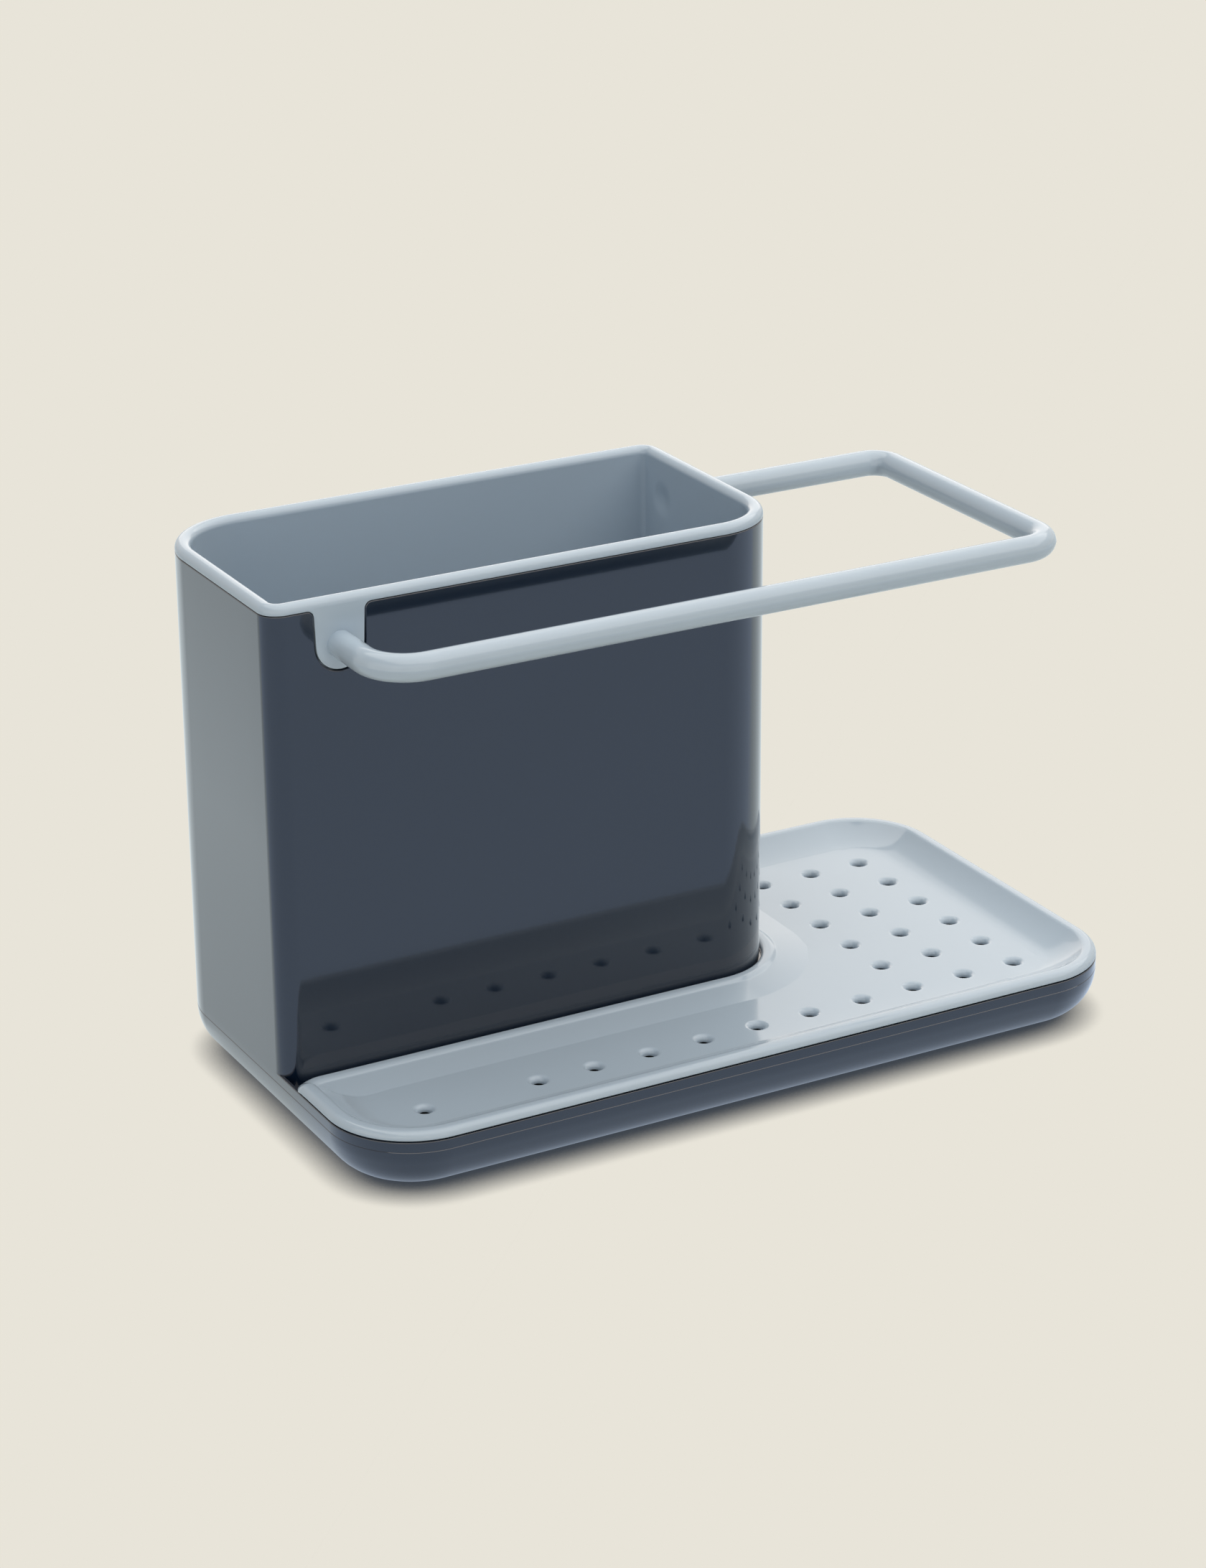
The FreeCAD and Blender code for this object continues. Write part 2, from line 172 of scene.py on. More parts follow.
class CaddyTraySizes(bpy.types.PropertyGroup):
    """Sizes of the L-shaped drainer tray"""
    gap: distance("Gap", 0.45 * MM, "Gap between the tray and the sleeve")
    bottom: distance("Bottom", TRAY_LOW.z, "Height of the underside")
    top: distance("Top", TRAY_HIGH.z, "Height of the bead")
    floor: distance("Floor", 13.2 * MM, "Height of the dished floor")
    wall: distance("Wall", 1.6 * MM, "Thickness of the dish")
    bead_base: distance("Bead base", 15.6 * MM, "Height of the bead's underside")
    bead_round: distance("Bead round", 1.85 * MM, "Outer radius of the bead")
    bead_inner_round: distance("Bead inner round", 1.8 * MM, "Inner radius of the bead")
    bead_inner_turn: angle(
        "Bead inner turn", 37, "Turn of the bead's inner round, where the cove takes over")
    bead_width: distance("Bead width", 3.6 * MM, "Width of the bead")
    skirt_inset: distance("Skirt inset", 1.3 * MM, "Skirt under the bead, from the tray's edge")
    plug_inset: distance("Plug inset", 2.4 * MM, "Foot of the tray, from its edge")
    plug_sleeve_inset: distance("Plug sleeve inset", 3.4 * MM, "Foot of the tray, from its lip")
    sleeve_hollow: distance("Sleeve hollow", 1.1 * MM, "Height of the hollow under the lip's foot")
    lip_top: distance("Lip top", 15.1 * MM, "Height of the lip beside the sleeve")
    lip_round: distance("Lip round", 1.4 * MM, "Radius of the lip's edge")
    lip_crest: distance("Lip crest", 2.2 * MM, "Width of the lip's level top")
    lip_fall: distance("Lip fall", 3.9 * MM, "Where the lip has rounded into its slope")
    lip_fall_height: distance("Lip fall height", 14.45 * MM, "Height where the lip's slope starts")
    ramp_start: distance("Ramp start", 0.8 * MM, "Where the bead starts to rise, from the sleeve")
    ramp_length: distance("Ramp length", 8.7 * MM, "Length over which the bead rises")
    cove_width: distance("Cove width", 12 * MM, "Where the floor starts, from the long sides")
    end_cove_width: distance("End cove width", 14 * MM, "Where the floor starts, from the ends")
    crease: share("Crease", 0.45, "Share of the long coves' rise that is a straight slope")
    end_radius: distance("End radius", 8 * MM, "Radius of the tray's two tips")
    drain_radius: distance("Drain radius", 1.5 * MM, "Radius of the drain holes")
    drain_lip: distance("Drain lip", 1.5 * MM, "Radius of the drain holes' rounded mouths")
    column_pitch: distance("Column pitch", 14.7 * MM, "Distance between the holes along the tray")
    row_pitch: distance("Row pitch", 14.15 * MM, "Distance between the holes across the tray")
    drain_end_inset: distance("Drain end inset", 21 * MM, "First hole from the right end")
    drain_front_inset: distance("Drain front inset", 19.6 * MM, "First row from the front")
    drain_sleeve_inset: distance(
        "Drain sleeve inset", 14 * MM, "Least distance of a full column from the sleeve")


class CaddyFootSizes(bpy.types.PropertyGroup):
    """Sizes of the non-slip feet"""
    radius: distance("Radius", 6.5 * MM, "Radius of a foot")
    height: distance("Height", 1.8 * MM, "Height of a foot with what its recess hides")
    edge: distance("Edge", 0.4 * MM, "Radius of a foot's lower edge")
    inset: distance("Inset", 23 * MM, "Middle of a foot from the base's sides")


class CaddyFinishes(bpy.types.PropertyGroup):
    """Colours and gloss of the mouldings and the stage"""
    dark_plastic: colour("Dark plastic", 0.0045, 0.011, 0.025, "Slate of the outer body")
    pale_plastic: colour("Pale plastic", 0.412, 0.502, 0.588, "Cool grey of the compartment, rail and tray")
    foot_rubber: colour("Foot rubber", 0.03, 0.03, 0.032, "Colour of the feet")
    backdrop: colour("Backdrop", 0.807, 0.776, 0.694, "Colour of the floor and the backdrop")
    dark_roughness: share("Dark roughness", 0.09, "Roughness of the slate plastic")
    pale_roughness: share("Pale roughness", 0.1, "Roughness of the pale plastic")
    foot_roughness: share("Foot roughness", 0.75, "Roughness of the rubber")
    dark_polish: share("Dark polish", 1.0, "Weight of the polished top skin on the slate plastic")


class CaddyStage(bpy.types.PropertyGroup):
    """Camera and light"""
    camera_place: bpy.props.FloatVectorProperty(
        name="Camera", description="Where the camera stands", size=3, unit="LENGTH", subtype="TRANSLATION",
        default=(-0.424156, -0.748787, 0.413293))
    azimuth: angle("Azimuth", -28.784, "Turn of the camera from the front")
    elevation: angle("Elevation", 22.088, "Height of the camera as an angle")
    roll: angle("Roll", -0.410, "Roll of the camera")
    focal_pixels: bpy.props.FloatProperty(
        name="Focal length", description="Focal length in pixels of the full picture", default=5403.84,
        subtype="PIXEL")
    sky: share("Sky", 0.09, "Strength of the even light from all round")
    sky_gloss: share("Sky in gloss", 1.0, "Strength of the surroundings that glossy faces mirror")
    floor_gloss: share("Floor in gloss", 0.97, "Strength of the floor that glossy faces mirror")
    floor_gloss_left: share("Left floor in gloss", 1.0, "The same, at the left and the back")
    key_power: power("Key light", 28.0, "Power of the softbox overhead")
    fill_power: power("Fill light", 2.6, "Power of the low softbox in front")
    left_power: power("Left light", 3.2, "Power of the low softbox at the left")
    back_power: power("Back light", 3.5, "Power of the low softbox behind")
    shadow_reach: distance("Shadow reach", 9.5 * MM, "How far the soft contact shadow reaches")


class CaddySettings(bpy.types.PropertyGroup):
    """All settings of the sink caddy"""
    body: bpy.props.PointerProperty(type=CaddyBodySizes)
    compartment: bpy.props.PointerProperty(type=CaddyCompartmentSizes)
    rail: bpy.props.PointerProperty(type=CaddyRailSizes)
    tray: bpy.props.PointerProperty(type=CaddyTraySizes)
    foot: bpy.props.PointerProperty(type=CaddyFootSizes)
    finish: bpy.props.PointerProperty(type=CaddyFinishes)
    stage: bpy.props.PointerProperty(type=CaddyStage)


# Outlines and shells

class Outline:
    """Closed outline of square corners, each with its own radius, traced at the same stations at any inset.

    A run's stops are a count of even steps, or places along the run's own direction. Corners, and the runs
    that start at them, are counted anticlockwise from the front left."""

    def __init__(self, corners, arc_steps, stops):
        self.corners = [Vector(corner[:2]) for corner in corners]
        self.radii = [corner[2] for corner in corners]
        self.arc_steps = arc_steps
        self.stops = stops
        count = len(corners)
        self.along = [(self.corners[(i + 1) % count] - self.corners[i]).normalized() for i in range(count)]
        self.inward = [Vector((-u.y, u.x)) for u in self.along]

    def arc(self, index, insets):
        """Centre and radius of one corner's arc."""
        before, after = self.along[index - 1], self.along[index]
        inset, next_inset = insets[index - 1], insets[index]
        corner = self.corners[index] + self.inward[index - 1] * inset + self.inward[index] * next_inset
        turn = 1 if before.cross(after) > 0 else -1
        radius = max(self.radii[index] - turn * (inset + next_inset) / 2, LEAST_RADIUS)
        return corner + (after - before) * radius, radius

    def trace(self, insets, moved=None):
        """Points round the outline, set in by one distance or each side's own, some runs' stops moved."""
        count = len(self.corners)
        if not hasattr(insets, "__len__"):
            insets = [insets] * count
        arcs = [self.arc(index, insets) for index in range(count)]
        points = []
        for index, (centre, radius) in enumerate(arcs):
            before, after = self.along[index - 1], self.along[index]
            for step in range(self.arc_steps[index] + 1):
                turn = QUARTER * step / self.arc_steps[index]
                points.append(centre + (before * math.sin(turn) - after * math.cos(turn)) * radius)
            finish = points[-1]
            next_centre, next_radius = arcs[(index + 1) % count]
            next_start = next_centre - self.along[(index + 1) % count] * next_radius
            stops = (moved or {}).get(index, self.stops[index])
            if isinstance(stops, int):
                points += [finish.lerp(next_start, step / stops) for step in range(1, stops)]
            else:
                first, last = finish.dot(after), next_start.dot(after)
                points += [finish + after * (min(max(stop, first), last) - first) for stop in stops]
        return points

    def ring(self, insets, heights, moved=None):
        """The traced points in space, at one height or each at its own."""
        points = self.trace(insets, moved)
        if not hasattr(heights, "__len__"):
            heights = [heights] * len(points)
        return [Vector((*point, height)) for point, height in zip(points, heights)]

    def stations(self):
        """For each station, its run and place in the run, or its corner and None."""
        listed = []
        for index, steps in enumerate(self.arc_steps):
            listed += [(index, None)] * (steps + 1)
            stops = self.stops[index]
            count = stops - 1 if isinstance(stops, int) else len(stops)
            listed += [(index, place) for place in range(count)]
        return listed


def travelled(line):
    """Share of the line's length gone at each of its points."""
    gone = [0.0]
    for start, finish in zip(line, line[1:]):
        gone.append(gone[-1] + (finish - start).length)
    return [length / gone[-1] for length in gone]


class Shell:
    """A mesh gathered from rings of points, listed from below, up the outside and down the inside."""

    def __init__(self):
        self.mesh = bmesh.new()
        self.crease = self.mesh.verts.layers.int.new("crease")

    def loft(self, rings, closed=True, creased=()):
        """Faces from each ring to the next, with a crease along the rings that are named."""
        rows = [[self.mesh.verts.new(point) for point in ring] for ring in rings]
        for index in creased:
            for vertex in rows[index]:
                vertex[self.crease] = 1
        for low, high in zip(rows, rows[1:]):
            count = len(low)
            for here in range(count if closed else count - 1):
                there = (here + 1) % count
                self.mesh.faces.new((low[here], low[there], high[there], high[here]))

    def bridge(self, low, high):
        """Triangles between two lines of points that share their ends."""
        lines = [[self.mesh.verts.new(point) for point in line] for line in (low, high)]
        marks = [travelled(line) for line in (low, high)]
        here, above = 0, 0
        while here < len(low) - 1 or above < len(high) - 1:
            next_low = marks[0][here + 1] if here < len(low) - 1 else math.inf
            next_high = marks[1][above + 1] if above < len(high) - 1 else math.inf
            if next_low <= next_high:
                corners = (lines[0][here], lines[0][here + 1], lines[1][above])
                here += 1
            else:
                corners = (lines[0][here], lines[1][above + 1], lines[1][above])
                above += 1
            self.mesh.faces.new(corners)

    def cap(self, ring, up):
        """One level face within a ring."""
        points = ring if up else list(reversed(ring))
        self.mesh.faces.new([self.mesh.verts.new(point) for point in points])

    def add(self, mesh):
        """Takes in a grown mesh."""
        self.mesh.from_mesh(mesh)
        bpy.data.meshes.remove(mesh)

    def piece(self, name, material):
        """The finished object, its doubles merged, smooth but for its creases."""
        mesh = self.mesh
        bmesh.ops.remove_doubles(mesh, verts=mesh.verts, dist=SAME_POINT)
        bmesh.ops.dissolve_degenerate(mesh, edges=mesh.edges, dist=SAME_POINT / 4)
        for face in mesh.faces:
            face.smooth = True
            face.material_index = 0
        for edge in mesh.edges:
            creased = all(vertex[self.crease] for vertex in edge.verts)
            edge.smooth = not creased and edge.calc_face_angle(0) < SHARP_TURN
        data = bpy.data.meshes.new(name)
        mesh.to_mesh(data)
        mesh.free()
        data.materials.append(material)
        made = bpy.data.objects.new(name, data)
        bpy.context.scene.collection.objects.link(made)
        even = made.modifiers.new("Even normals", "WEIGHTED_NORMAL")
        even.keep_sharp = True
        even.weight = NORMAL_WEIGHT
        return made


def notch_path(low_half, flare, flare_height, middle_height, shoulder):
    """Edge of a tab or notch across its wall, left to right: shoulder, side, round foot and back up."""
    flare_steps, foot_steps = 6, 20
    path = []
    for step in range(flare_steps + 1):
        turn = QUARTER * step / flare_steps
        path.append((-shoulder + flare * math.sin(turn), flare_height + flare * math.cos(turn)))
    for step in range(foot_steps + 1):
        turn = math.pi * step / foot_steps
        path.append((-low_half * math.cos(turn), middle_height - low_half * math.sin(turn)))
    path += [(-sideways, height) for sideways, height in reversed(path[:flare_steps + 1])]
    return path


def shifted_path(path, shift):
    """The path moved sideways within its wall: down into a notched wall, or up into a tab when negative."""
    moved = []
    last = len(path) - 1
    for index, (sideways, height) in enumerate(path):
        start, finish = path[max(index - 1, 0)], path[min(index + 1, last)]
        run = Vector((finish[0] - start[0], finish[1] - start[1])).normalized()
        if index in (0, last):
            run = Vector((1, 0))
        moved.append((sideways + run.y * shift, height - run.x * shift))
    return moved


def notched_ring(outline, inset, level, path, places, shift=0.0):
    """Ring at one level that dips along the path where a run has a tab or a notch."""
    moved = shifted_path(path, shift)
    stops = {run: [middle + sideways for sideways, height in moved] for run, middle in places.items()}
    heights = [
        moved[place][1] if place is not None and run in places else level - shift
        for run, place in outline.stations()]
    return outline.ring(inset, heights, stops)


def between(start, finish, gone):
    """The value at a share of the way from one to another."""
    return start + (finish - start) * gone


def falling_stops(start, finish, count):
    """Even places between two others, on a run that goes towards lower values."""
    return [-between(start, finish, step / count) for step in range(1, count)]


def quarter_round(steps):
    """Sine and cosine at even steps of a quarter turn."""
    turns = [QUARTER * step / steps for step in range(steps + 1)]
    return [(math.sin(turn), math.cos(turn)) for turn in turns]


def over_edge(width, radius, steps):
    """Insets and drops over a wall's top, from its outer face to its inner one, both edges rounded."""
    turns = [(radius * (1 - cosine), radius * (1 - sine)) for sine, cosine in quarter_round(steps)]
    return turns + [(width - inset, drop) for inset, drop in reversed(turns)]


# Nodes

class Wire:
    """A socket of a node tree, with arithmetic that adds Math nodes."""

    def __init__(self, tree, socket=None):
        self.tree = tree
        self.socket = socket

    def node(self, kind, settings=None, sockets=None, output=0):
        """Adds a node: its settings first, then the values or links of its sockets, and returns an output."""
        made = self.tree.nodes.new(kind)
        for name, value in (settings or {}).items():
            setattr(made, name, value)
        for key, value in (sockets or {}).items():
            for item in value if isinstance(value, list) else [value]:
                if isinstance(item, Wire):
                    self.tree.links.new(item.socket, made.inputs[key])
                else:
                    made.inputs[key].default_value = item
        return Wire(self.tree, made.outputs[output] if len(made.outputs) else None)

    def other(self, output):
        """Another output of the same node."""
        return Wire(self.tree, self.socket.node.outputs[output])

    def maths(self, operation, *values):
        """A Math node's value."""
        return self.node("ShaderNodeMath", {"operation": operation}, dict(enumerate(values)))

    def __add__(self, other):
        return self.maths("ADD", self, other)

    def __sub__(self, other):
        return self.maths("SUBTRACT", self, other)

    def __rsub__(self, other):
        return self.maths("SUBTRACT", other, self)

    def __mul__(self, other):
        return self.maths("MULTIPLY", self, other)

    def __truediv__(self, other):
        return self.maths("DIVIDE", self, other)

    def __rtruediv__(self, other):
        return self.maths("DIVIDE", other, self)

    __radd__ = __add__
    __rmul__ = __mul__

    def mixed(self, first, second):
        """A colour between two others, with this value as the factor."""
        return self.node("ShaderNodeMix", {"data_type": "RGBA"}, {0: self, 6: first, 7: second}, 2)


def geometry_tree(name, lengths, counts):
    """A geometry tree with a mesh, a material and named sizes as inputs: tree, mesh input and sizes."""
    tree = bpy.data.node_groups.new(name, "GeometryNodeTree")

    def socket(label, kind, way="INPUT"):
        tree.interface.new_socket(name=label, in_out=way, socket_type="NodeSocket" + kind)

    socket("Geometry", "Geometry")
    socket("Material", "Material")
    for label in lengths:
        socket(label, "Float")
    for label in counts:
        socket(label, "Int")
    socket("Geometry", "Geometry", "OUTPUT")
    inputs = Wire(tree).node("NodeGroupInput")
    return tree, inputs, [inputs.other(label) for label in (*lengths, *counts)]


def point_value(inputs, name):
    """A number that each point of the mesh carries."""
    return inputs.node("GeometryNodeInputNamedAttribute", {"data_type": "FLOAT"}, {"Name": name})


def rounded_tube(inputs, fill, sides, steps, radius, height, bend, finish):
    """Tube that turns through a quarter round from a radius and height, then runs straight to its finish.

    A positive bend turns outwards and up, a negative one inwards and down."""
    tube = inputs.node("GeometryNodeMeshCylinder", {"fill_type": fill}, {
        "Vertices": sides, "Side Segments": steps + 1, "Radius": 1.0, "Depth": 1.0})
    position = inputs.node("GeometryNodeInputPosition")
    parts = inputs.node("ShaderNodeSeparateXYZ", None, {0: position})
    along = parts.other("Z") + 0.5
    turn = along * (steps + 1) / steps * QUARTER
    turn = turn.maths("MINIMUM", turn, QUARTER)
    straight = along.maths("GREATER_THAN", along, 1 - 0.5 / (steps + 1))
    width = radius + bend * turn.maths("SINE", turn)
    level = height + bend * (1 - turn.maths("COSINE", turn))
    level = level + (finish - level) * straight
    shaped = inputs.node("ShaderNodeCombineXYZ", None, {
        "X": parts.other("X") * width, "Y": parts.other("Y") * width, "Z": level})
    return inputs.node("GeometryNodeSetPosition", None, {"Geometry": tube, "Position": shaped})


def circle(inputs, sides, radius):
    """A round curve."""
    return inputs.node(
        "GeometryNodeCurvePrimitiveCircle", {"mode": "RADIUS"}, {"Resolution": sides, "Radius": radius})


def close_tree(inputs, geometry):
    """Ends a geometry tree with plain, smooth faces that carry the material."""
    real = inputs.node("GeometryNodeRealizeInstances", None, {0: geometry})
    merged = inputs.node("GeometryNodeMergeByDistance", None, {"Geometry": real, "Distance": SAME_POINT})
    smooth = inputs.node("GeometryNodeSetShadeSmooth", None, {0: merged})
    finished = inputs.node(
        "GeometryNodeSetMaterial", None, {"Geometry": smooth, "Material": inputs.other("Material")})
    inputs.node("NodeGroupOutput", None, {0: finished})


def grown_mesh(name, tree, points, edges, attributes, values):
    """The plain mesh that a geometry tree makes from points and edges."""
    seed = bpy.data.meshes.new(name)
    seed.from_pydata(points, edges, [])
    for label, numbers in attributes.items():
        layer = seed.attributes.new(label, "FLOAT", "POINT")
        layer.data.foreach_set("value", numbers)
    holder = bpy.data.objects.new(name, seed)
    bpy.context.scene.collection.objects.link(holder)
    grow = holder.modifiers.new(name, "NODES")
    grow.node_group = tree
    for item in tree.interface.items_tree:
        if item.in_out == "INPUT" and item.name in values:
            grow[item.identifier] = values[item.name]
    bpy.context.view_layer.update()
    evaluated = holder.evaluated_get(bpy.context.evaluated_depsgraph_get())
    made = bpy.data.meshes.new_from_object(evaluated)
    holder.modifiers.remove(grow)
    bpy.data.objects.remove(holder)
    bpy.data.meshes.remove(seed)
    return made


def drained_floor_tree():
    """Level floor with round drains: outline and hole middles in, both faces and the drains out."""
    tree, inputs, (top, bottom, hole, lip, sides, steps) = geometry_tree(
        "Drained floor", ("Top", "Bottom", "Hole radius", "Mouth lip"), ("Sides", "Lip steps"))
    parted = inputs.node("GeometryNodeSeparateGeometry", {"domain": "POINT"}, {
        "Geometry": inputs, "Selection": point_value(inputs, "hole")})
    outline = inputs.node("GeometryNodeMeshToCurve", None, {0: parted.other(1)})
    middles = inputs.node("GeometryNodeMeshToPoints", None, {"Mesh": parted})

    def at_middles(shape):
        return inputs.node("GeometryNodeInstanceOnPoints", None, {"Points": middles, "Instance": shape})

    def face(height, radius):
        around = at_middles(circle(inputs, sides, radius))
        rings = inputs.node("GeometryNodeRealizeInstances", None, {0: around})
        both = inputs.node("GeometryNodeJoinGeometry", None, {0: [outline, rings]})
        filled = inputs.node("GeometryNodeFillCurve", {"mode": "TRIANGLES"}, {"Curve": both})
        place = inputs.node("ShaderNodeCombineXYZ", None, {"Z": height})
        return inputs.node("GeometryNodeSetPosition", None, {"Geometry": filled, "Offset": place})

    mouth = hole + lip
    drain = rounded_tube(inputs, "NONE", sides, steps, mouth, top, lip * -1, bottom)
    underside = inputs.node("GeometryNodeFlipFaces", None, {0: face(bottom, hole)})
    close_tree(inputs, inputs.node("GeometryNodeJoinGeometry", None, {
        0: [face(top, mouth), underside, at_middles(drain)]}))
    return tree


def drained_floor(name, outline_points, middles, values):
    """Mesh of a floor within an outline, with a drain at each middle."""
    points = [(point.x, point.y, 0) for point in outline_points] + [(x, y, 0) for x, y in middles]
    count = len(outline_points)
    edges = [(index, (index + 1) % count) for index in range(count)]
    holes = [0.0] * count + [1.0] * len(middles)
    tree = bpy.data.node_groups.get("Drained floor") or drained_floor_tree()
    return grown_mesh(name, tree, points, edges, {"hole": holes}, values)


def bar_tree():
    """Round bar along a path: its bends and its thickness come from the points."""
    tree, inputs, (radius, parting, bend_steps, sides) = geometry_tree(
        "Bent bar", ("Radius", "Parting height"), ("Bend steps", "Sides"))
    path = inputs.node("GeometryNodeMeshToCurve", None, {0: inputs})
    path = inputs.node("GeometryNodeSetCurveRadius", None, {
        "Curve": path, "Radius": point_value(inputs, "thickness")})
    path = inputs.node("GeometryNodeFilletCurve", {"mode": "POLY"}, {
        "Curve": path, "Radius": point_value(inputs, "bend"), "Count": bend_steps})
    path = inputs.node("GeometryNodeSetCurveNormal", {"mode": "Z_UP"}, {"Curve": path})
    index = inputs.node("GeometryNodeInputIndex")
    half = inputs.maths("MODULO", index, sides / 2)
    on_line = half.maths("LESS_THAN", half, 0.5)
    position = inputs.node("GeometryNodeInputPosition")
    outward = inputs.node("ShaderNodeVectorMath", {"operation": "NORMALIZE"}, {0: position})
    ridge = inputs.node("ShaderNodeVectorMath", {"operation": "SCALE"}, {
        0: outward, "Scale": on_line * parting})
    ring = inputs.node("GeometryNodeSetPosition", None, {
        "Geometry": circle(inputs, sides, radius), "Offset": ridge})
    close_tree(inputs, inputs.node("GeometryNodeCurveToMesh", None, {
        "Curve": path, "Profile Curve": ring, "Fill Caps": True}))
    return tree


def feet_tree():
    """One foot at each point: a low disc with an eased lower edge."""
    tree, inputs, (radius, height, edge, sides, steps) = geometry_tree(
        "Feet", ("Radius", "Height", "Edge"), ("Sides", "Edge steps"))
    foot = rounded_tube(inputs, "NGON", sides, steps, radius - edge, 0, edge, height)
    places = inputs.node("GeometryNodeMeshToPoints", None, {"Mesh": inputs})
    close_tree(inputs, inputs.node("GeometryNodeInstanceOnPoints", None, {
        "Points": places, "Instance": foot}))
    return tree


# Finishes

SWELL_SCALE, RIPPLE_SCALE, GRAIN_SCALE = 26.0, 34.0, 900.0
SWELL_IN_GLOSS, GRAIN_IN_GLOSS = 0.35, 0.5
RIPPLE_STRENGTH, RIPPLE_DEPTH, GRAIN_DEPTH = 0.25, 0.12 * MM, 0.02 * MM
SINK_RADIUS, SINK_DEPTH = 5.5 * MM, 0.5 * MM
PLASTIC_IOR, COAT_IOR, COAT_ROUGHNESS = 1.5, 1.4, 0.05


def emptied_nodes(owner):
    """The owner's node tree, emptied for wiring."""
    owner.use_nodes = True
    owner.node_tree.nodes.clear()
    return Wire(owner.node_tree)


def moulded_plastic(name, tone, roughness, swell, grain, polish=0.0, sinks=()):
    """Moulded plastic or rubber: slow swell, fine grain, and sink marks where the section is thick."""
    material = bpy.data.materials.get(name)
    if material:
        return material
    material = bpy.data.materials.new(name)
    wires = emptied_nodes(material)
    place = wires.node("ShaderNodeTexCoord", None, None, "Object")

    def noise(scale, detail):
        return wires.node("ShaderNodeTexNoise", None, {"Vector": place, "Scale": scale, "Detail": detail})

    broad, fine, ripple = noise(SWELL_SCALE, 2.0), noise(GRAIN_SCALE, 3.0), noise(RIPPLE_SCALE, 1.0)
    lighter = [min(channel * (1 + swell), 1) for channel in tone]
    darker = [channel * (1 - swell) for channel in tone]
    shade = broad.mixed((*darker, 1), (*lighter, 1))
    gloss = roughness + (fine - 0.5) * (roughness * GRAIN_IN_GLOSS)
    gloss = gloss + (broad - 0.5) * (roughness * SWELL_IN_GLOSS)
    slow = wires.node("ShaderNodeBump", None, {
        "Strength": RIPPLE_STRENGTH, "Distance": RIPPLE_DEPTH, "Height": ripple})
    for sink in sinks:
        away = wires.node("ShaderNodeVectorMath", {"operation": "DISTANCE"}, {0: place, 1: sink}, "Value")
        dent = wires.node("ShaderNodeMapRange", {"interpolation_type": "SMOOTHERSTEP"}, {
            "Value": away, "From Max": SINK_RADIUS})
        slow = wires.node("ShaderNodeBump", None, {"Distance": SINK_DEPTH, "Height": dent, "Normal": slow})
    skin = wires.node("ShaderNodeBump", None, {
        "Strength": grain, "Distance": GRAIN_DEPTH, "Height": fine, "Normal": slow})
    shader = wires.node("ShaderNodeBsdfPrincipled", None, {
        "Base Color": shade, "Roughness": gloss, "IOR": PLASTIC_IOR, "Normal": skin, "Coat Weight": polish,
        "Coat Roughness": COAT_ROUGHNESS, "Coat IOR": COAT_IOR})
    wires.node("ShaderNodeOutputMaterial", None, {"Surface": shader})
    return material


def finish_of(settings, slot):
    """The material of one of the record's slots."""
    colours, plan = settings.finish, Plan(settings)
    if slot == "dark_plastic":
        return moulded_plastic(
            "slate_gloss_plastic", colours.dark_plastic, colours.dark_roughness, swell=0.06, grain=0.02,
            polish=colours.dark_polish)
    if slot == "pale_plastic":
        sinks = [(plan.sleeve_right - plan.inside, plan.back_tab_y, plan.rail_height),
                 (plan.front_tab_x, plan.sleeve_front + plan.inside, plan.rail_height)]
        return moulded_plastic(
            "pale_gloss_plastic", colours.pale_plastic, colours.pale_roughness, swell=0.015, grain=0.03,
            sinks=sinks)
    return moulded_plastic(
        "matt_foot_rubber", colours.foot_rubber, colours.foot_roughness, swell=0.2, grain=0.6)


# Shared places

ROUND_STEPS, EDGE_STEPS, EASE_STEPS = 28, 12, 4
FRONT_STEPS, RIGHT_STEPS = 10, 6
FLUSH_BACK_STEPS, FLUSH_LEFT_STEPS, FREE_STEPS = 6, 5, 4
COUNT_SLACK = 1e-4


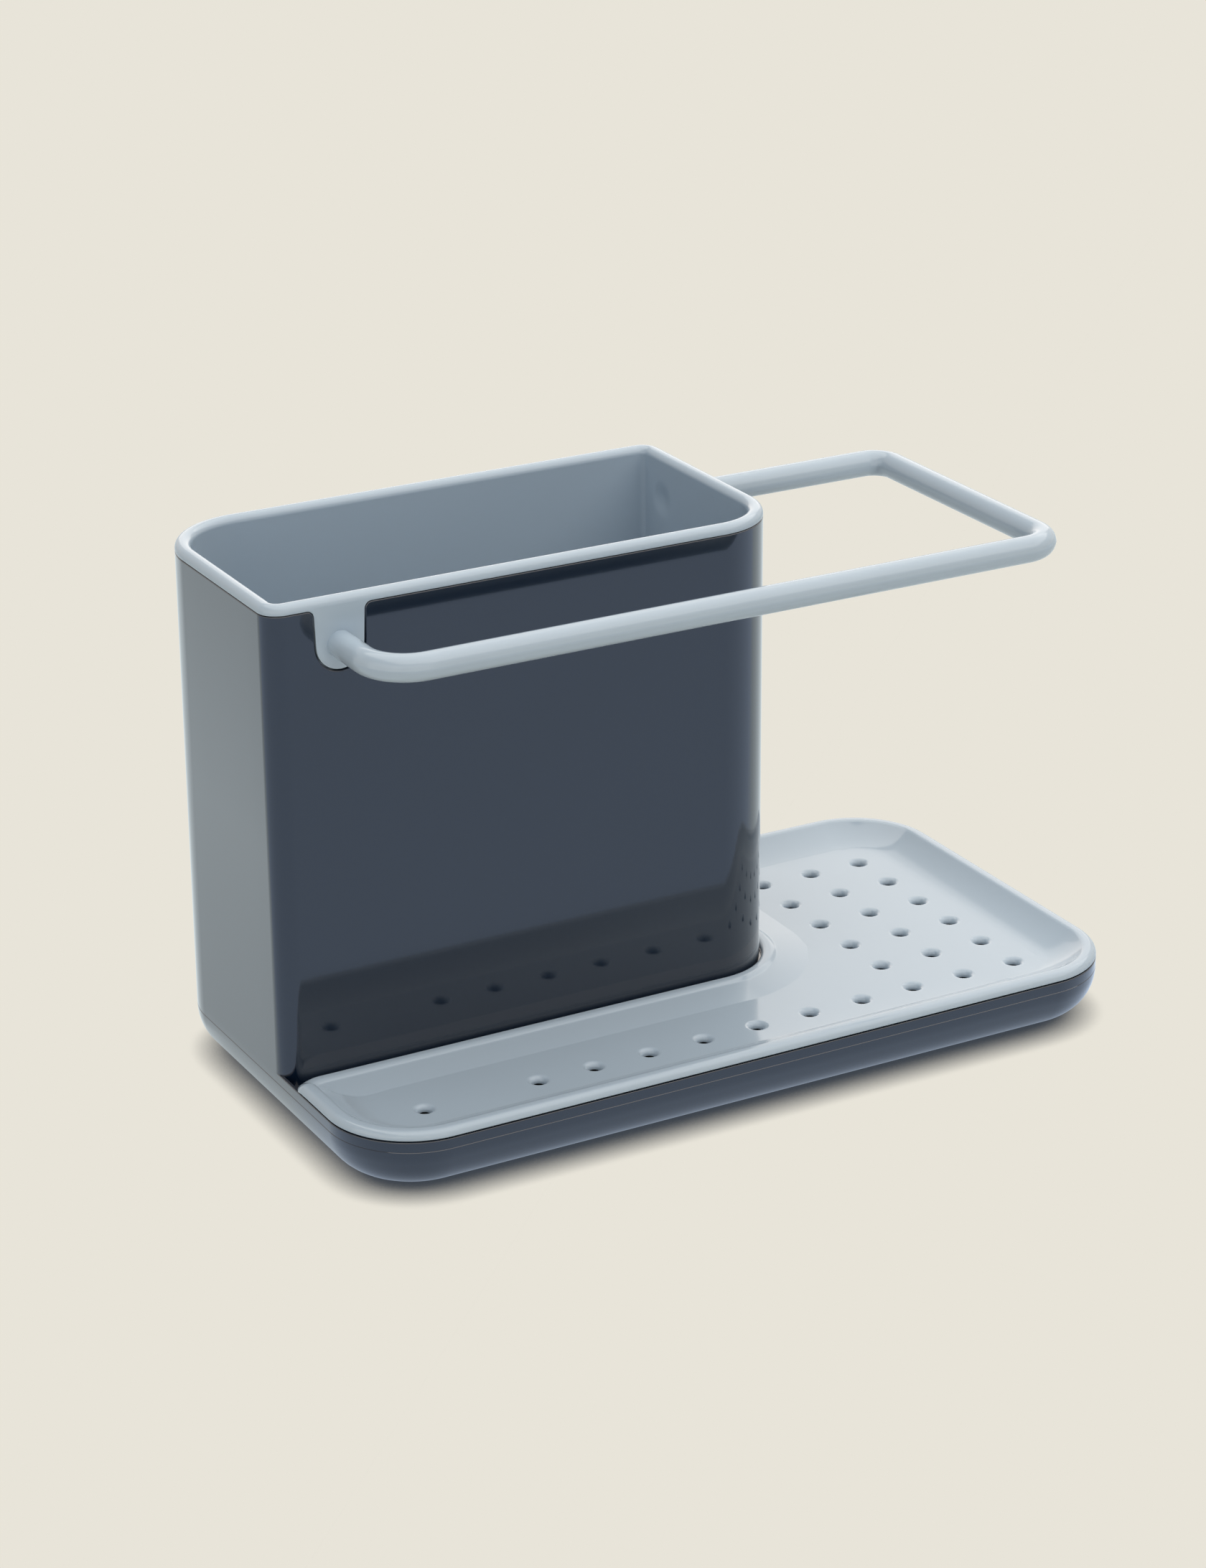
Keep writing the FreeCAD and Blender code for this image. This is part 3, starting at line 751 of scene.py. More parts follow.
class Plan:
    """Places that several pieces share, worked out from the settings."""

    def __init__(self, settings):
        body, compartment = settings.body, settings.compartment
        self.left, self.right = -body.length / 2, body.length / 2
        self.front, self.back = -body.depth / 2, body.depth / 2
        self.sleeve_right = self.left + body.sleeve_length
        self.sleeve_front = self.front + body.strip_depth
        self.inside = body.wall + compartment.gap + compartment.wall
        self.front_tab_x = self.left + compartment.front_tab_inset
        self.back_tab_y = self.back - compartment.back_tab_inset
        self.tab_places = {0: self.front_tab_x, 1: self.back_tab_y}
        self.rail_height = body.sleeve_top - settings.rail.drop
        self.rim_base = body.sleeve_top + compartment.seam
        self.flare_height = self.rim_base - compartment.tab_flare
        self.floor_round = body.base_round - body.wall
        self.round_start = body.floor_top + self.floor_round
        corner, edge = body.corner_radius, body.edge_radius
        meet_back, meet_left = self.sleeve_right - edge, self.sleeve_front + edge
        self.flush_back = falling_stops(meet_back, self.left + corner, FLUSH_BACK_STEPS)
        self.flush_left = falling_stops(self.back - corner, meet_left, FLUSH_LEFT_STEPS)
        self.free_back = [*falling_stops(self.right - corner, meet_back, FREE_STEPS), -meet_back]
        self.free_left = [-meet_left, *falling_stops(meet_left, self.front + corner, FREE_STEPS)]
        self.open_corners = [
            (self.left, self.front, corner), (self.right, self.front, corner),
            (self.right, self.back, corner)]
        self.sleeve_corners = [
            (self.left, self.sleeve_front, edge), (self.sleeve_right, self.sleeve_front, body.sleeve_round),
            (self.sleeve_right, self.back, edge), (self.left, self.back, corner)]
        self.sleeve_steps = [EDGE_STEPS, ROUND_STEPS, EDGE_STEPS, ROUND_STEPS]

    def tab(self, compartment, shoulder_gap, foot_gap):
        """Edge of a tab, or of its notch with gaps."""
        return notch_path(
            compartment.tab_low_half_width + foot_gap, compartment.tab_flare - shoulder_gap,
            self.flare_height, self.rail_height, compartment.tab_half_width + compartment.tab_flare)

    def sleeve(self, path):
        """Sleeve outline whose front and right walls have a station at each point of a tab's edge."""
        stops = [[middle + sideways for sideways, height in path] for middle in self.tab_places.values()]
        return Outline(self.sleeve_corners, self.sleeve_steps, [*stops, self.flush_back, self.flush_left])


# Pieces

UNDERSIDE_STEPS, SHAFT_STEPS, PAN_STEPS, TIP_STEPS = 14, 8, 10, 6
SEAT_RIGHT_STEPS, SEAT_FRONT_STEPS = 6, 8
SEAT_SINK, SEAT_SHARE = 0.3 * MM, 0.9


class CADDY_OT_outer_body(bpy.types.Operator):
    """Build the drip base with its sleeve, notches, ledge and rounded underside"""
    bl_idname = "caddy.outer_body"
    bl_label = "Outer body"

    def execute(self, context):
        settings = context.scene.sink_caddy
        body, compartment = settings.body, settings.compartment
        plan = Plan(settings)
        shell = Shell()
        wall_top = self.base(shell, body, plan)
        foot = self.sleeve(shell, body, compartment, plan)
        seat = self.pan(shell, body, plan, wall_top[-1])
        # The hidden seam where the sleeve's foot, the ends of the base's wall and the ledge meet
        joint = [foot[0], *[row[0] for row in wall_top], *reversed(seat)]
        joint += [*[row[-1] for row in reversed(wall_top)], foot[-1]]
        shell.bridge(joint, foot)
        made = shell.piece("outer_body_moulding", finish_of(settings, "dark_plastic"))
        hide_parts("outer_body")
        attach(made, "base")
        return {"FINISHED"}

    def base(self, shell, body, plan):
        """Underside, rounded wall with its parting line, and the wall's eased top beside the tray."""
        outline = Outline(
            [*plan.open_corners, (plan.left, plan.back, body.corner_radius)], [ROUND_STEPS] * 4,
            [FRONT_STEPS, RIGHT_STEPS, plan.free_back + plan.flush_back, plan.flush_left + plan.free_left])
        wall_foot = body.stand + body.base_round
        levels = [
            (body.base_round * (1 - sine), wall_foot - body.base_round * cosine)
            for sine, cosine in quarter_round(UNDERSIDE_STEPS)]
        half_line = body.parting_width / 2
        line = wall_foot + half_line
        levels += [
            (0, line - half_line / 2), (body.parting_depth, line), (0, line + half_line),
            (0, body.base_top - body.edge_ease)]
        rings = [outline.ring(inset, height) for inset, height in levels]
        shell.loft(rings)
        shell.cap(rings[0], False)
        flush_end = outline.stations().index((3, len(plan.flush_left)))
        free_end = outline.stations().index((2, len(plan.free_back) - 1))
        levels = over_edge(body.rebate_wall, body.edge_ease, EASE_STEPS)
        rings = [outline.ring(inset, body.base_top - drop) for inset, drop in levels]
        rings.append(outline.ring(body.rebate_wall, body.ledge_top))
        wall_top = [ring[flush_end:] + ring[:free_end + 1] for ring in rings]
        shell.loft(wall_top, closed=False)
        rings = [outline.ring(0, body.base_top - drop) for drop in (body.edge_ease, 0)]
        shell.loft([ring[free_end:flush_end + 1] for ring in rings], closed=False)
        return wall_top

    def sleeve(self, shell, body, compartment, plan):
        """Walls of the sleeve with an eased, notched top edge, and the shaft inside."""
        path = plan.tab(compartment, compartment.seam, compartment.tab_gap)
        outline = plan.sleeve(path)
        stations = outline.stations()
        flush_start = stations.index((2, None)) + plan.sleeve_steps[2]
        foot = outline.ring(0, [
            body.base_top if index >= flush_start or index == 0 else body.ledge_top - SEAT_SINK
            for index in range(len(stations))])
        rings = [foot]
        for inset, drop in over_edge(body.wall, body.edge_ease, EASE_STEPS):
            rings.append(notched_ring(outline, inset, body.sleeve_top, path, plan.tab_places, drop))
        for sine, cosine in quarter_round(SHAFT_STEPS):
            flush = body.wall + plan.floor_round * (1 - cosine)
            rings.append(outline.ring(
                [body.wall, body.wall, flush, flush], plan.round_start - plan.floor_round * sine))
        shell.loft(rings)
        shell.cap(rings[-1], True)
        return foot[:flush_start + 1]

    def pan(self, shell, body, plan, wall_edge):
        """Drip pan under the tray, with the ledge round it, which runs on into the sleeve's wall."""
        outline = Outline(
            [*plan.open_corners, (plan.sleeve_right, plan.back, LEAST_RADIUS),
             (plan.sleeve_right, plan.sleeve_front, body.sleeve_round),
             (plan.left, plan.sleeve_front, LEAST_RADIUS)],
            [ROUND_STEPS, ROUND_STEPS, ROUND_STEPS, TIP_STEPS, ROUND_STEPS, TIP_STEPS],
            [FRONT_STEPS, RIGHT_STEPS, plan.free_back, SEAT_RIGHT_STEPS, SEAT_FRONT_STEPS, plan.free_left])

        def ring(outer, sleeve, height):
            return outline.ring([outer, outer, outer, sleeve, sleeve, outer], height)

        stations, wrap = outline.stations(), len(plan.free_left)
        seat = ring(body.rebate_wall, -SEAT_SHARE * body.wall, body.ledge_top)
        seat = seat[stations.index((3, None)):stations.index((5, 0))]
        rings = [
            [*wall_edge[wrap:], *seat, *wall_edge[:wrap]],
            ring(body.wall, body.ledge_width, body.ledge_top)]
        for sine, cosine in quarter_round(PAN_STEPS):
            rings.append(ring(
                body.wall + plan.floor_round * (1 - cosine), body.ledge_width,
                plan.round_start - plan.floor_round * sine))
        shell.loft(rings)
        shell.cap(rings[-1], True)
        return seat


RIM_SHARE = 0.96
RIM_STEPS, RIM_EASE_STEPS, INNER_STEPS = 8, 3, 5
FLOOR_DRAIN_SIDES, FLOOR_DRAIN_STEPS = 28, 3
FLARE_STEPS, BEND_STEPS, BAR_SIDES = 8, 14, 48


class CADDY_OT_inner_compartment(bpy.types.Operator):
    """Build the lift-out compartment with its bullnose rim, tabs, drained floor and towel rail"""
    bl_idname = "caddy.inner_compartment"
    bl_label = "Inner compartment and towel rail"

    def execute(self, context):
        settings = context.scene.sink_caddy
        plan = Plan(settings)
        material = finish_of(settings, "pale_plastic")
        shell = Shell()
        self.walls(shell, settings.body, settings.compartment, plan, material)
        self.rail(shell, settings, plan, material)
        made = shell.piece("inner_compartment_moulding", material)
        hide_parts("inner_compartment")
        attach(made, "compartment")
        return {"FINISHED"}

    def walls(self, shell, body, compartment, plan, material):
        """One skin from the underside up the outside, over the rim and down to the floor."""
        path = plan.tab(compartment, 0, 0)
        outline = plan.sleeve(path)
        outside, inside = body.wall + compartment.gap, plan.inside
        low, foot, inner = compartment.bottom, compartment.foot_round, compartment.inner_round
        rings = [outline.ring(inside + inner, low)]
        for sine, cosine in quarter_round(EASE_STEPS):
            rings.append(outline.ring(outside + foot * (1 - sine), low + foot * (1 - cosine)))

        def notched(inset, shift=0.0):
            return notched_ring(outline, inset, plan.rim_base, path, plan.tab_places, shift)

        seat = [
            compartment.seam if place is None or run > 1 or place in (0, len(path) - 1) else 0
            for run, place in outline.stations()]
        for inset in (outside, compartment.seam_depth):
            rings.append([point - Vector((0, 0, drop)) for point, drop in zip(notched(inset), seat)])
        rings.append(notched(compartment.seam_depth))
        ease = compartment.rim_ease
        for sine, cosine in quarter_round(RIM_EASE_STEPS):
            rings.append(notched(ease * (1 - sine), -ease * (1 - cosine)))
        rim_round = RIM_SHARE * min(inside / 2, compartment.rim_height)
        for inset, drop in over_edge(inside, rim_round, RIM_STEPS):
            rings.append(outline.ring(inset, compartment.rim_top - drop))
        floor_top = low + compartment.floor
        for sine, cosine in quarter_round(INNER_STEPS):
            rings.append(outline.ring(inside + inner * (1 - cosine), floor_top + inner * (1 - sine)))
        shell.loft(rings)
        shell.add(drained_floor("compartment_floor", rings[0], self.drain_middles(body, compartment, plan), {
            "Top": floor_top, "Bottom": low, "Hole radius": compartment.drain_radius,
            "Mouth lip": compartment.drain_lip, "Sides": FLOOR_DRAIN_SIDES, "Lip steps": FLOOR_DRAIN_STEPS,
            "Material": material}))

    def drain_middles(self, body, compartment, plan):
        """Even rows about the middle of the floor."""
        inset, pitch = plan.inside + compartment.drain_inset, compartment.drain_pitch
        sleeve_depth = body.depth - body.strip_depth
        columns = int((body.sleeve_length - 2 * inset) / pitch + COUNT_SLACK)
        rows = int((sleeve_depth - 2 * inset) / pitch + COUNT_SLACK)
        middle_x = plan.left + body.sleeve_length / 2
        middle_y = plan.back - sleeve_depth / 2
        return [
            (middle_x + (column - columns / 2) * pitch, middle_y + (row - rows / 2) * pitch)
            for column in range(columns + 1) for row in range(rows + 1)]

    def rail(self, shell, settings, plan, material):
        """Towel rail swept along its bends, flaring into a tab at each end."""
        rail = settings.rail
        height = plan.rail_height
        bar_front = plan.sleeve_front - rail.front_reach
        bar_right = plan.sleeve_right + rail.right_reach
        front_root = Vector((plan.front_tab_x, plan.sleeve_front, height))
        back_root = Vector((plan.sleeve_right, plan.back_tab_y, height))
        fillet = rail.root_fillet
        flare = [(-settings.body.wall / 2, rail.radius + fillet)]
        flare += [
            (fillet * (1 - cosine), rail.radius + fillet * (1 - sine))
            for sine, cosine in quarter_round(FLARE_STEPS)]
        points, bends, thickness = [], [], []

        def add(point, bend, radius):
            points.append(point)
            bends.append(bend)
            thickness.append(radius / rail.radius)

        for out, radius in flare:
            add(front_root + Vector((0, -out, 0)), 0, radius)
        add(Vector((plan.front_tab_x, bar_front, height)), rail.root_bend, rail.radius)
        add(Vector((bar_right, bar_front, height)), rail.front_bend, rail.radius)
        add(Vector((bar_right, plan.back_tab_y, height)), rail.back_bend, rail.radius)
        for out, radius in reversed(flare):
            add(back_root + Vector((out, 0, 0)), 0, radius)
        edges = [(index, index + 1) for index in range(len(points) - 1)]
        carried = {"bend": bends, "thickness": thickness}
        shell.add(grown_mesh("towel_rail", bar_tree(), points, edges, carried, {
            "Radius": rail.radius, "Parting height": rail.parting_height, "Bend steps": BEND_STEPS,
            "Sides": BAR_SIDES, "Material": material}))


TRAY_ARC_STEPS = [30, 30, 30, 20, 30, 20]
TRAY_RUN_STEPS = [24, 12, 8, 8, 16, 5]
BEAD_STEPS, BEAD_INNER_STEPS, COVE_STEPS = 9, 7, 16
TRAY_DRAIN_SIDES, TRAY_DRAIN_STEPS = 32, 7
BEAD_EASE, LIP_EASE = 0.1 * MM, 0.2 * MM
SLOPE_SHARE, LIP_BEND = 1.2, 1.6


class CADDY_OT_drainer_tray(bpy.types.Operator):
    """Build the L-shaped drainer tray with its bead, lip, dished floor and drains"""
    bl_idname = "caddy.drainer_tray"
    bl_label = "Drainer tray"

    def execute(self, context):
        settings = context.scene.sink_caddy
        plan = Plan(settings)
        material = finish_of(settings, "pale_plastic")
        shell = Shell()
        self.dish(shell, settings, plan, material)
        made = shell.piece("drainer_tray_moulding", material)
        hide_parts("drainer_tray")
        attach(made, "tray")
        return {"FINISHED"}

    def profile(self, tray):
        """Rows from the underside, up the outside, over the bead and down to the floor.

        Each row: inset and height at the long sides, inset at the ends, inset and height at the sleeve."""
        rows = []

        def row(side, height, sleeve, sleeve_height, end=None):
            rows.append((side, height, side if end is None else end, sleeve, sleeve_height))

        low, wall, floor = tray.bottom, tray.wall, tray.floor
        plug, plug_sleeve = tray.plug_inset, tray.plug_sleeve_inset
        hollow, sleeve_hollow = tray.top - 2 * wall, low + tray.sleeve_hollow
        row(tray.cove_width, low, tray.cove_width, low, tray.end_cove_width)
        row(plug + 2 * wall, hollow, plug_sleeve + SLOPE_SHARE * wall, sleeve_hollow)
        row(plug + wall, hollow, plug_sleeve + wall, sleeve_hollow)
        row(plug + wall, low, plug_sleeve + wall, low)
        row(plug, low, plug_sleeve, low)
        row(plug, floor, plug_sleeve, floor)
        row(tray.skirt_inset, floor, LIP_EASE, floor)
        row(tray.skirt_inset, tray.bead_base, LIP_EASE / 4, floor + LIP_EASE / 4)
        row(BEAD_EASE, tray.bead_base, 0, floor + LIP_EASE)
        spring, lip_spring = tray.top - tray.bead_round, tray.lip_top - tray.lip_round
        for sine, cosine in quarter_round(BEAD_STEPS):
            row(tray.bead_round * (1 - cosine), spring + tray.bead_round * sine,
                tray.lip_round * (1 - cosine), lip_spring + tray.lip_round * sine)
        inner, turn = tray.bead_inner_round, tray.bead_inner_turn
        crest = tray.bead_width - inner * math.sin(turn)
        for step in range(BEAD_INNER_STEPS + 1):
            gone = step / BEAD_INNER_STEPS
            fall = gone * gone * (LIP_BEND - (LIP_BEND - 1) * gone)
            row(crest + inner * math.sin(turn * gone), tray.top - inner * (1 - math.cos(turn * gone)),
                between(tray.lip_crest, tray.lip_fall, gone),
                between(tray.lip_top, tray.lip_fall_height, fall))
        foot = tray.top - inner * (1 - math.cos(turn))
        for step in range(1, COVE_STEPS + 1):
            up = 1 - step / COVE_STEPS
            rise = tray.crease * up + (1 - tray.crease) * up * up
            row(between(tray.cove_width, tray.bead_width, up), between(floor, foot, rise),
                between(tray.cove_width, tray.lip_fall, up), between(floor, tray.lip_fall_height, up),
                between(tray.end_cove_width, tray.bead_width, math.sqrt(rise)))
        return rows

    def dish(self, shell, settings, plan, material):
        """The lofted dish, whose bead falls to a low lip beside the sleeve, and its drained floor."""
        body, tray = settings.body, settings.tray
        inner_x, inner_y = plan.sleeve_right + tray.gap, plan.sleeve_front - tray.gap
        outline = Outline(
            [*plan.open_corners, (inner_x, plan.back, tray.end_radius),
             (inner_x, inner_y, body.sleeve_round + tray.gap), (plan.left, inner_y, tray.end_radius)],
            TRAY_ARC_STEPS, TRAY_RUN_STEPS)
        # The lip is low all along the sleeve, on runs 3 and 4 and the corner between them
        raised = []
        for point, (run, place) in zip(outline.trace(0), outline.stations()):
            away = max(point.x - plan.sleeve_right, plan.sleeve_front - point.y)
            rise = min(max((away - tray.ramp_start) / tray.ramp_length, 0), 1)
            beside = run == 3 and place is not None or run == 4
            raised.append(0 if beside else rise * rise * (3 - 2 * rise))
        rings = []
        for side, height, end, sleeve, sleeve_height in self.profile(tray):
            heights = [between(sleeve_height, height, up) for up in raised]
            rings.append(outline.ring([side, end, side, sleeve, sleeve, end], heights))
        shell.loft(rings, creased=[len(rings) - 1])
        shell.add(drained_floor("tray_floor", rings[-1], self.drain_middles(body, tray, plan), {
            "Top": tray.floor, "Bottom": tray.bottom, "Hole radius": tray.drain_radius,
            "Mouth lip": tray.drain_lip, "Sides": TRAY_DRAIN_SIDES, "Lip steps": TRAY_DRAIN_STEPS,
            "Material": material}))

    def drain_middles(self, body, tray, plan):
        """Front row along the whole tray, one place left bare near its left end, and rows at the right."""
        first_x = plan.right - tray.drain_end_inset
        first_y = plan.front + tray.drain_front_inset
        columns = int((body.length - 2 * tray.drain_end_inset) / tray.column_pitch + COUNT_SLACK)
        rows = int((body.depth - 2 * tray.drain_front_inset) / tray.row_pitch + COUNT_SLACK)
        middles = []
        for column in range(columns + 1):
            x = first_x - column * tray.column_pitch
            if column != columns - 1:
                middles.append((x, first_y))
            if x >= plan.sleeve_right + tray.gap + tray.drain_sleeve_inset:
                middles += [(x, first_y + row * tray.row_pitch) for row in range(1, rows + 1)]
        return middles


FOOT_SIDES, FOOT_EDGE_STEPS = 48, 5


class CADDY_OT_feet(bpy.types.Operator):
    """Build the four non-slip feet under the base"""
    bl_idname = "caddy.feet"
    bl_label = "Feet"

    def execute(self, context):
        settings = context.scene.sink_caddy
        foot = settings.foot
        plan = Plan(settings)
        material = finish_of(settings, "foot_rubber")
        across, along = plan.right - foot.inset, plan.back - foot.inset
        places = [(x, y, 0) for x in (-across, across) for y in (-along, along)]
        shell = Shell()
        shell.add(grown_mesh("feet", feet_tree(), places, [], {}, {
            "Radius": foot.radius, "Height": foot.height, "Edge": foot.edge, "Sides": FOOT_SIDES,
            "Edge steps": FOOT_EDGE_STEPS, "Material": material}))
        made = shell.piece("rubber_feet", material)
        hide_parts("foot_front_left", "foot_front_right", "foot_back_left", "foot_back_right")
        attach(made, "base")
        return {"FINISHED"}


# Stage

# Painted contact shadow on the floor: its colour, and the occlusion at which it is darkest and at which it
# clears
WHITE, CONTACT_SHADOW_TONE = (1, 1, 1, 1), (0.06, 0.075, 0.105, 1)
CONTACT_SAMPLES, CONTACT_SHADOW_DARK, CONTACT_SHADOW_CLEAR = 16, 0.16, 0.8
LEFT_GLOW, FRONT_GLOW = (0.86, 0.96, 1.0, 1), (0.67, 0.80, 1.0, 1)
FRONT_START, FRONT_FULL = 0.012, -0.03
FAR_LEFT, MID_LEFT, NEAR_LEFT = -0.27, -0.17, -0.11
# The last is the share of the floor's glow that gloss still mirrors inside the painted contact shadow
FAR_LEFT_SHARE, NEAR_LEFT_SHARE, SHADOWED_GLOW_SHARE = 0.84, 0.86, 0.3
SKY_TONE, SKY_GLOSS_TONE = (0.72, 0.86, 1, 1), (1, 0.94, 0.89, 1)
SKY_LOW, SKY_HIGH, SKY_HIGH_SHARE = 0.4, 0.7, 0.6
NEUTRAL, WARM, SLIGHTLY_WARM = (1, 1, 1), (1, 0.95, 0.89), (1, 0.95, 0.9)
FLOOR_REACH = 6.0
AIM = Vector((0, 0, 0.05))
PICTURE_WIDE, PICTURE_TALL, SENSOR, NEAREST = 1680, 2184, 36.0, 0.01


class CADDY_OT_stage(bpy.types.Operator):
    """Set up the pale floor, the soft light and the camera"""
    bl_idname = "caddy.stage"
    bl_label = "Stage"

    def execute(self, context):
        settings = context.scene.sink_caddy
        self.floor(context, settings)
        self.light(context, settings)
        self.camera(context, settings.stage)
        context.scene.view_settings.view_transform = "Standard"
        return {"FINISHED"}

    def floor(self, context, settings):
        """Matt floor that shows the camera its plain colour with a painted contact shadow, and gloss a soft
        glow that the same painted shadow darkens.
        """
        stage, tone, plan = settings.stage, (*settings.finish.backdrop, 1), Plan(settings)
        mesh = bpy.data.meshes.new("floor")
        square = [(-1, -1), (1, -1), (1, 1), (-1, 1)]
        mesh.from_pydata([(x * FLOOR_REACH, y * FLOOR_REACH, 0) for x, y in square], [], [(0, 1, 2, 3)])
        floor = bpy.data.objects.new("floor", mesh)
        context.scene.collection.objects.link(floor)
        material = bpy.data.materials.new("pale_floor")
        material.cycles.emission_sampling = "NONE"
        wires = emptied_nodes(material)
        # Painted contact shadow: the floor's plain colour that the camera sees is darkened where occlusion
        # finds the caddy close by
        near = wires.node(
            "ShaderNodeAmbientOcclusion", {"samples": CONTACT_SAMPLES},
            {"Distance": stage.shadow_reach}, "AO")
        shade = self.fade(near, CONTACT_SHADOW_DARK, CONTACT_SHADOW_CLEAR, 0, 1).mixed(CONTACT_SHADOW_TONE, WHITE)
        shadowed_floor = wires.node(
            "ShaderNodeMix", {"data_type": "RGBA", "blend_type": "MULTIPLY"}, {0: 1.0, 6: shade, 7: tone}, 2)
        place = wires.node("ShaderNodeTexCoord", None, None, "Object")
        parts = wires.node("ShaderNodeSeparateXYZ", None, {0: place})
        across = parts.other("X")
        aside = parts.other("Y") - plan.sleeve_front + self.fade(across, plan.left - 1, plan.left, -1, 0)
        forward = self.fade(aside, FRONT_START, FRONT_FULL, 0, 1)
        left = stage.floor_gloss_left * self.fade(across, FAR_LEFT, MID_LEFT, FAR_LEFT_SHARE, 1)
        left = left * self.fade(across, MID_LEFT, NEAR_LEFT, 1, NEAR_LEFT_SHARE)
        strength = left + forward * (stage.floor_gloss - left)
        # Painted shadow in reflections: the glow that gloss mirrors is darkened near the caddy by the same
        # occlusion
        strength = strength * (SHADOWED_GLOW_SHARE + (1 - SHADOWED_GLOW_SHARE) * near)
        matt = wires.node("ShaderNodeBsdfDiffuse", None, {"Color": tone})
        mirrored = wires.node("ShaderNodeEmission", None, {
            "Color": forward.mixed(LEFT_GLOW, FRONT_GLOW), "Strength": strength})
        shown = wires.node("ShaderNodeEmission", None, {"Color": shadowed_floor, "Strength": 1.0})
        wires.node("ShaderNodeOutputMaterial", None, {"Surface": self.by_ray(wires, matt, mirrored, shown)})
        mesh.materials.append(material)
        floor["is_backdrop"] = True

    def by_ray(self, wires, plain, mirrored, shown):
        """Plain light, what gloss mirrors, and what is seen straight or through something clear."""
        rays = wires.node("ShaderNodeLightPath")
        lit = wires.node("ShaderNodeMixShader", None, {0: rays.other("Is Glossy Ray"), 1: plain, 2: mirrored})
        straight = rays.other("Is Camera Ray") + rays.other("Is Transmission Ray")
        return wires.node("ShaderNodeMixShader", None, {0: straight, 1: lit, 2: shown})

    def fade(self, value, start, finish, low, high):
        """A value carried from one range to another, held at both ends."""
        return value.node("ShaderNodeMapRange", None, {
            "Value": value, "From Min": start, "From Max": finish, "To Min": low, "To Max": high})

    def light(self, context, settings):
        """Pale studio all round, and four softboxes."""
        stage, tone = settings.stage, (*settings.finish.backdrop, 1)
        world = bpy.data.worlds.new("studio")
        context.scene.world = world
        wires = emptied_nodes(world)
        way = wires.node("ShaderNodeTexCoord", None, None, "Generated")
        height = wires.node("ShaderNodeSeparateXYZ", None, {0: way}, "Z")

        def background(colour, strength):
            return wires.node("ShaderNodeBackground", None, {"Color": colour, "Strength": strength})

        gloss = stage.sky_gloss * self.fade(height, SKY_LOW, SKY_HIGH, 1, SKY_HIGH_SHARE)
        whole = self.by_ray(
            wires, background(SKY_TONE, stage.sky), background(SKY_GLOSS_TONE, gloss), background(tone, 1.0))
        wires.node("ShaderNodeOutputWorld", None, {"Surface": whole})
        for name, watts, lamp_tone, place, size in (
                ("key_softbox", stage.key_power, WARM, (0.28, -0.04, 1.15), (2.2, 2.2)),
                ("fill_softbox", stage.fill_power, NEUTRAL, (-0.3, -1.2, 0.5), (1.6, 1.0)),
                ("left_softbox", stage.left_power, NEUTRAL, (-1.2, -0.4, 0.45), (1.4, 1.0)),
                ("back_softbox", stage.back_power, SLIGHTLY_WARM, (0.71, 1.3, 0.62), (1.3, 0.9))):
            self.softbox(context, name, watts, lamp_tone, place, size)

    def softbox(self, context, name, watts, tone, place, size):
        """Area lamp that faces the middle of the caddy."""
        light = bpy.data.lights.new(name, "AREA")
        light.shape = "RECTANGLE"
        light.size, light.size_y = size
        light.energy = watts
        light.color = tone
        lamp = bpy.data.objects.new(name, light)
        context.scene.collection.objects.link(lamp)
        lamp.location = place
        lamp.visible_camera = False
        lamp.rotation_euler = (AIM - lamp.location).to_track_quat("-Z", "Y").to_euler()

    def camera(self, context, stage):
        """Camera at the photograph's viewing angle and in its format."""
        turn, lift = stage.azimuth, stage.elevation
        behind = Vector((
            math.sin(turn) * math.cos(lift), -math.cos(turn) * math.cos(lift), math.sin(lift)))
        right = Vector((math.cos(turn), math.sin(turn), 0))
        up = behind.cross(right)
        cosine, sine = math.cos(stage.roll), math.sin(stage.roll)
        rolled_right = right * cosine + up * sine
        rolled_up = up * cosine - right * sine
        data = bpy.data.cameras.new("camera")
        data.sensor_fit = "VERTICAL"
        data.sensor_height = SENSOR
        data.sensor_width = SENSOR * PICTURE_WIDE / PICTURE_TALL
        data.lens = stage.focal_pixels * SENSOR / PICTURE_TALL
        data.clip_start = NEAREST
        camera = bpy.data.objects.new("camera", data)
        context.scene.collection.objects.link(camera)
        frame_axes = Matrix((rolled_right, rolled_up, behind)).transposed().to_4x4()
        camera.matrix_world = Matrix.Translation(Vector(stage.camera_place)) @ frame_axes
        context.scene.camera = camera


# Panel and registration

class CADDY_PT_sidebar(bpy.types.Panel):
    """Buttons that build the caddy and its stage"""
    bl_idname = "CADDY_PT_sidebar"
    bl_label = "Sink caddy"
    bl_space_type = "VIEW_3D"
    bl_region_type = "UI"
    bl_category = "Sink caddy"

    def draw(self, context):
        for operator in OPERATORS:
            self.layout.operator(operator.bl_idname)


GROUPS = (
    CaddyBodySizes, CaddyCompartmentSizes, CaddyRailSizes, CaddyTraySizes, CaddyFootSizes, CaddyFinishes,
    CaddyStage, CaddySettings)
OPERATORS = (
    CADDY_OT_outer_body, CADDY_OT_inner_compartment, CADDY_OT_drainer_tray, CADDY_OT_feet, CADDY_OT_stage)


def register():
    for group in (*GROUPS, *OPERATORS, CADDY_PT_sidebar):
        bpy.utils.register_class(group)
    bpy.types.Scene.sink_caddy = bpy.props.PointerProperty(type=CaddySettings)


def unregister():
    del bpy.types.Scene.sink_caddy
    for group in reversed((*GROUPS, *OPERATORS, CADDY_PT_sidebar)):
        bpy.utils.unregister_class(group)


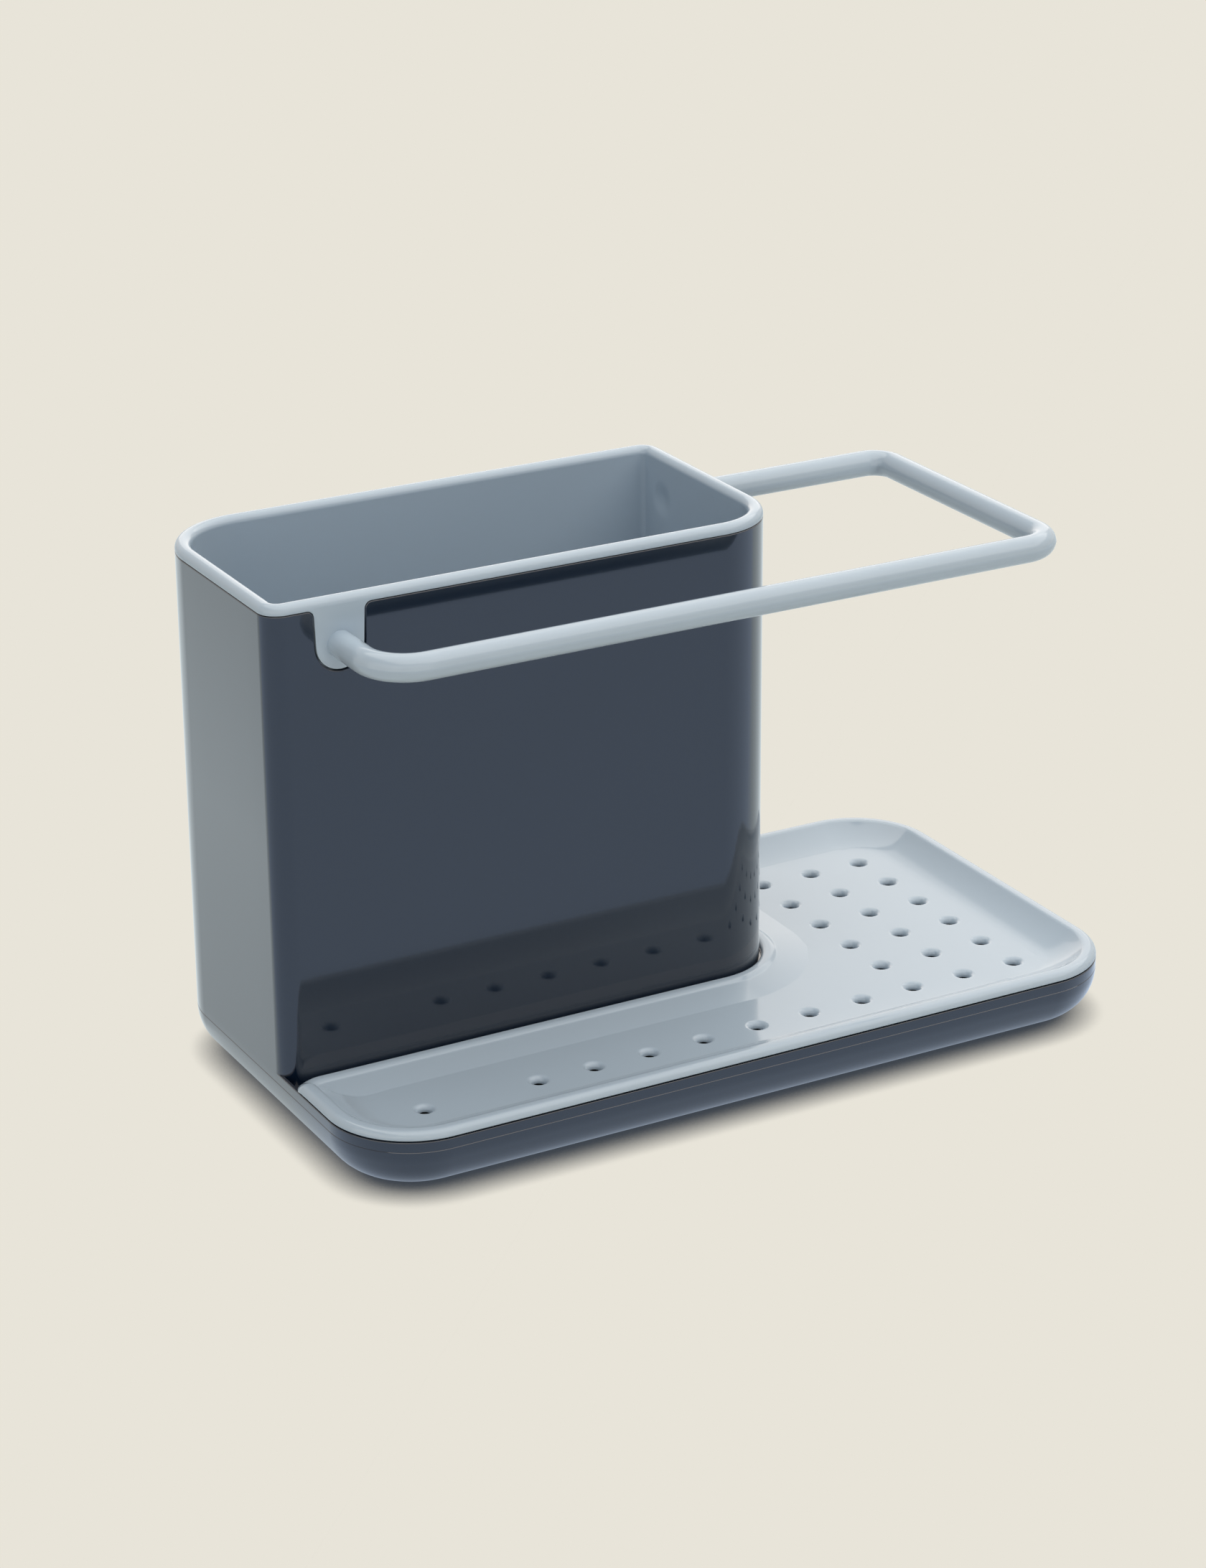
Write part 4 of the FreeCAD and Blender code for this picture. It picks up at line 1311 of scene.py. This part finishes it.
def main():
    register()
    bpy.ops.caddy.outer_body()
    bpy.ops.caddy.inner_compartment()
    bpy.ops.caddy.drainer_tray()
    bpy.ops.caddy.feet()
    bpy.ops.caddy.stage()
    boxes = {"cad": CAD_BOX, "visual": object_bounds()}
    {name: [list(corner) for corner in box] for name, box in boxes.items()}


if __name__ == "__main__":
    main()
